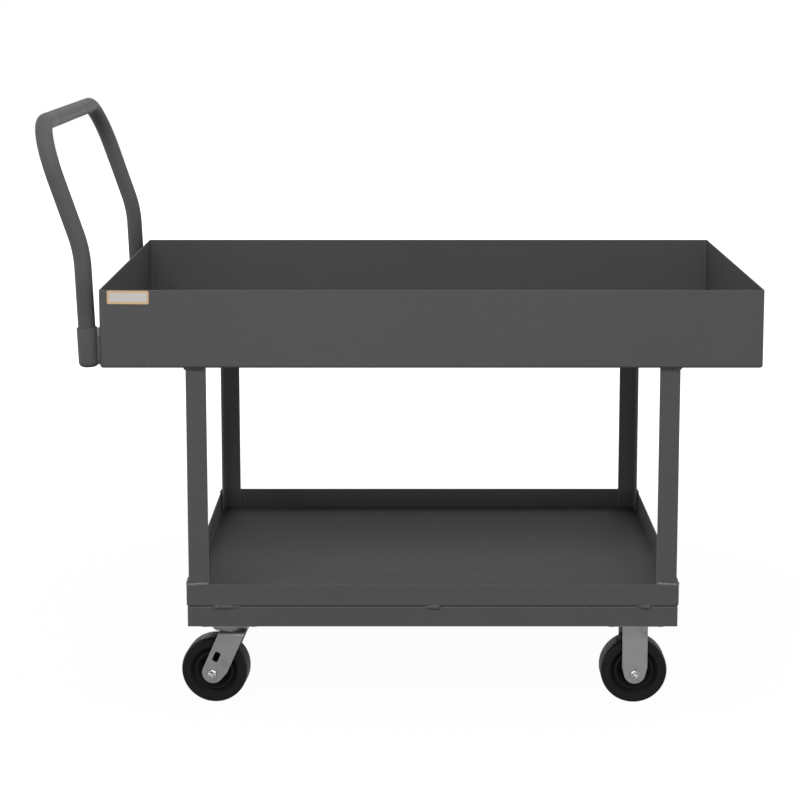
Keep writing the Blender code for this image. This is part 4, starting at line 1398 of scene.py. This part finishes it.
# %% Soft boxes
LOW_SIZE = (3.0, 0.6)
SOFT_BOXES = {
    "front_box": ((-0.6, -3.5, 3.2), (4.0, 1.2), 166.0),
    "low_front_box": ((0.2, -5.0, -0.1), LOW_SIZE, 60.0),
    "low_back_box": ((-0.2, 5.0, -0.1), LOW_SIZE, 45.0),
    "low_left_box": ((-5.0, 0.2, -0.1), LOW_SIZE, 80.0),
    "low_right_box": ((5.0, 0.2, -0.1), LOW_SIZE, 80.0),
    "top_box": ((0.1, -0.2, 3.0), (2.4, 1.6), 32.0),
    "back_box": ((0.6, 3.0, 2.6), (3.0, 1.6), 25.0),
}
centre = (cad_low + cad_high) / 2


def soft_box(name, offset, size, power):
    """A lit rectangle this far from the cart's middle, which it faces."""
    light = bpy.data.lights.new(name, "AREA")
    light.shape = "RECTANGLE"
    light.size, light.size_y = size
    light.energy = power
    lamp = add_object(name, light)
    lamp.location = centre + Vector(offset)
    lamp.rotation_euler = (centre - lamp.location).to_track_quat("-Z", "Y").to_euler()
    print(name, "shines with", power, "W")


for name, (offset, size, power) in SOFT_BOXES.items():
    soft_box(name, offset, size, power)

# %% Backdrop
BACKDROP = 1.0
FILL = 0.44

world = bpy.data.worlds.new("pale_room")
world.use_nodes = True
background = world.node_tree.nodes["Background"]
background.inputs["Color"].default_value = grey(1.0)


def seen_directly(room):
    """1 for rays that show the backdrop: from the camera, in a reflection or through glass."""
    path = room.node("ShaderNodeLightPath", output="Is Camera Ray")
    sockets = path.socket.node.outputs
    shown = path + Signal(room, sockets["Is Glossy Ray"]) + Signal(room, sockets["Is Transmission Ray"])
    return room.node("ShaderNodeMath", {"operation": "MINIMUM"}, {0: shown, 1: 1.0})


room = Recipe(world.node_tree)
strength = FILL + (BACKDROP - FILL) * seen_directly(room)
room.feed(background.inputs["Strength"], strength)
bpy.context.scene.world = world
print("backdrop shines with", BACKDROP, "and lights the cart with", FILL)

# %% Floor
FLOOR_HALF = 12.0
FLOOR_COLOUR = grey(0.10)
FLOOR_ROUGHNESS = 0.9
FLOOR_GLOW = 1.38
SHADOW_KEPT = 0.30
SHADOW_FADE = (1.0, 2.4)

bm = bmesh.new()
bmesh.ops.create_grid(bm, x_segments=1, y_segments=1, size=FLOOR_HALF)
mesh = bpy.data.meshes.new("pale_floor")
bm.to_mesh(mesh)
bm.free()
floor = add_object("pale_floor", mesh)

floor_material = bpy.data.materials.new("pale_floor")
floor_material.use_nodes = True
floor_tree = floor_material.node_tree
shader = floor_tree.nodes["Principled BSDF"]
shader.inputs["Base Color"].default_value = FLOOR_COLOUR
shader.inputs["Roughness"].default_value = FLOOR_ROUGHNESS
shader.inputs["Specular IOR Level"].default_value = 0.0
floor_room = Recipe(floor_tree)
glow = floor_room.node("ShaderNodeEmission", inputs={"Color": grey(1.0), "Strength": FLOOR_GLOW})
place = floor_room.node("ShaderNodeTexCoord", output="Object")
distance = floor_room.node("ShaderNodeVectorMath", {"operation": "LENGTH"}, {0: place}, output="Value")
far = floor_room.rise(distance, *SHADOW_FADE)
white = (1.0 - SHADOW_KEPT * (1.0 - far)) * seen_directly(floor_room)
mixed = floor_room.node("ShaderNodeMixShader", inputs={0: white})
mixer = mixed.socket.node
floor_tree.links.new(shader.outputs[0], mixer.inputs[1])
floor_tree.links.new(glow.socket, mixer.inputs[2])
floor_tree.links.new(mixer.outputs[0], floor_tree.nodes["Material Output"].inputs["Surface"])
mesh.materials.append(floor_material)
print("floor is", 2 * FLOOR_HALF, "m wide")
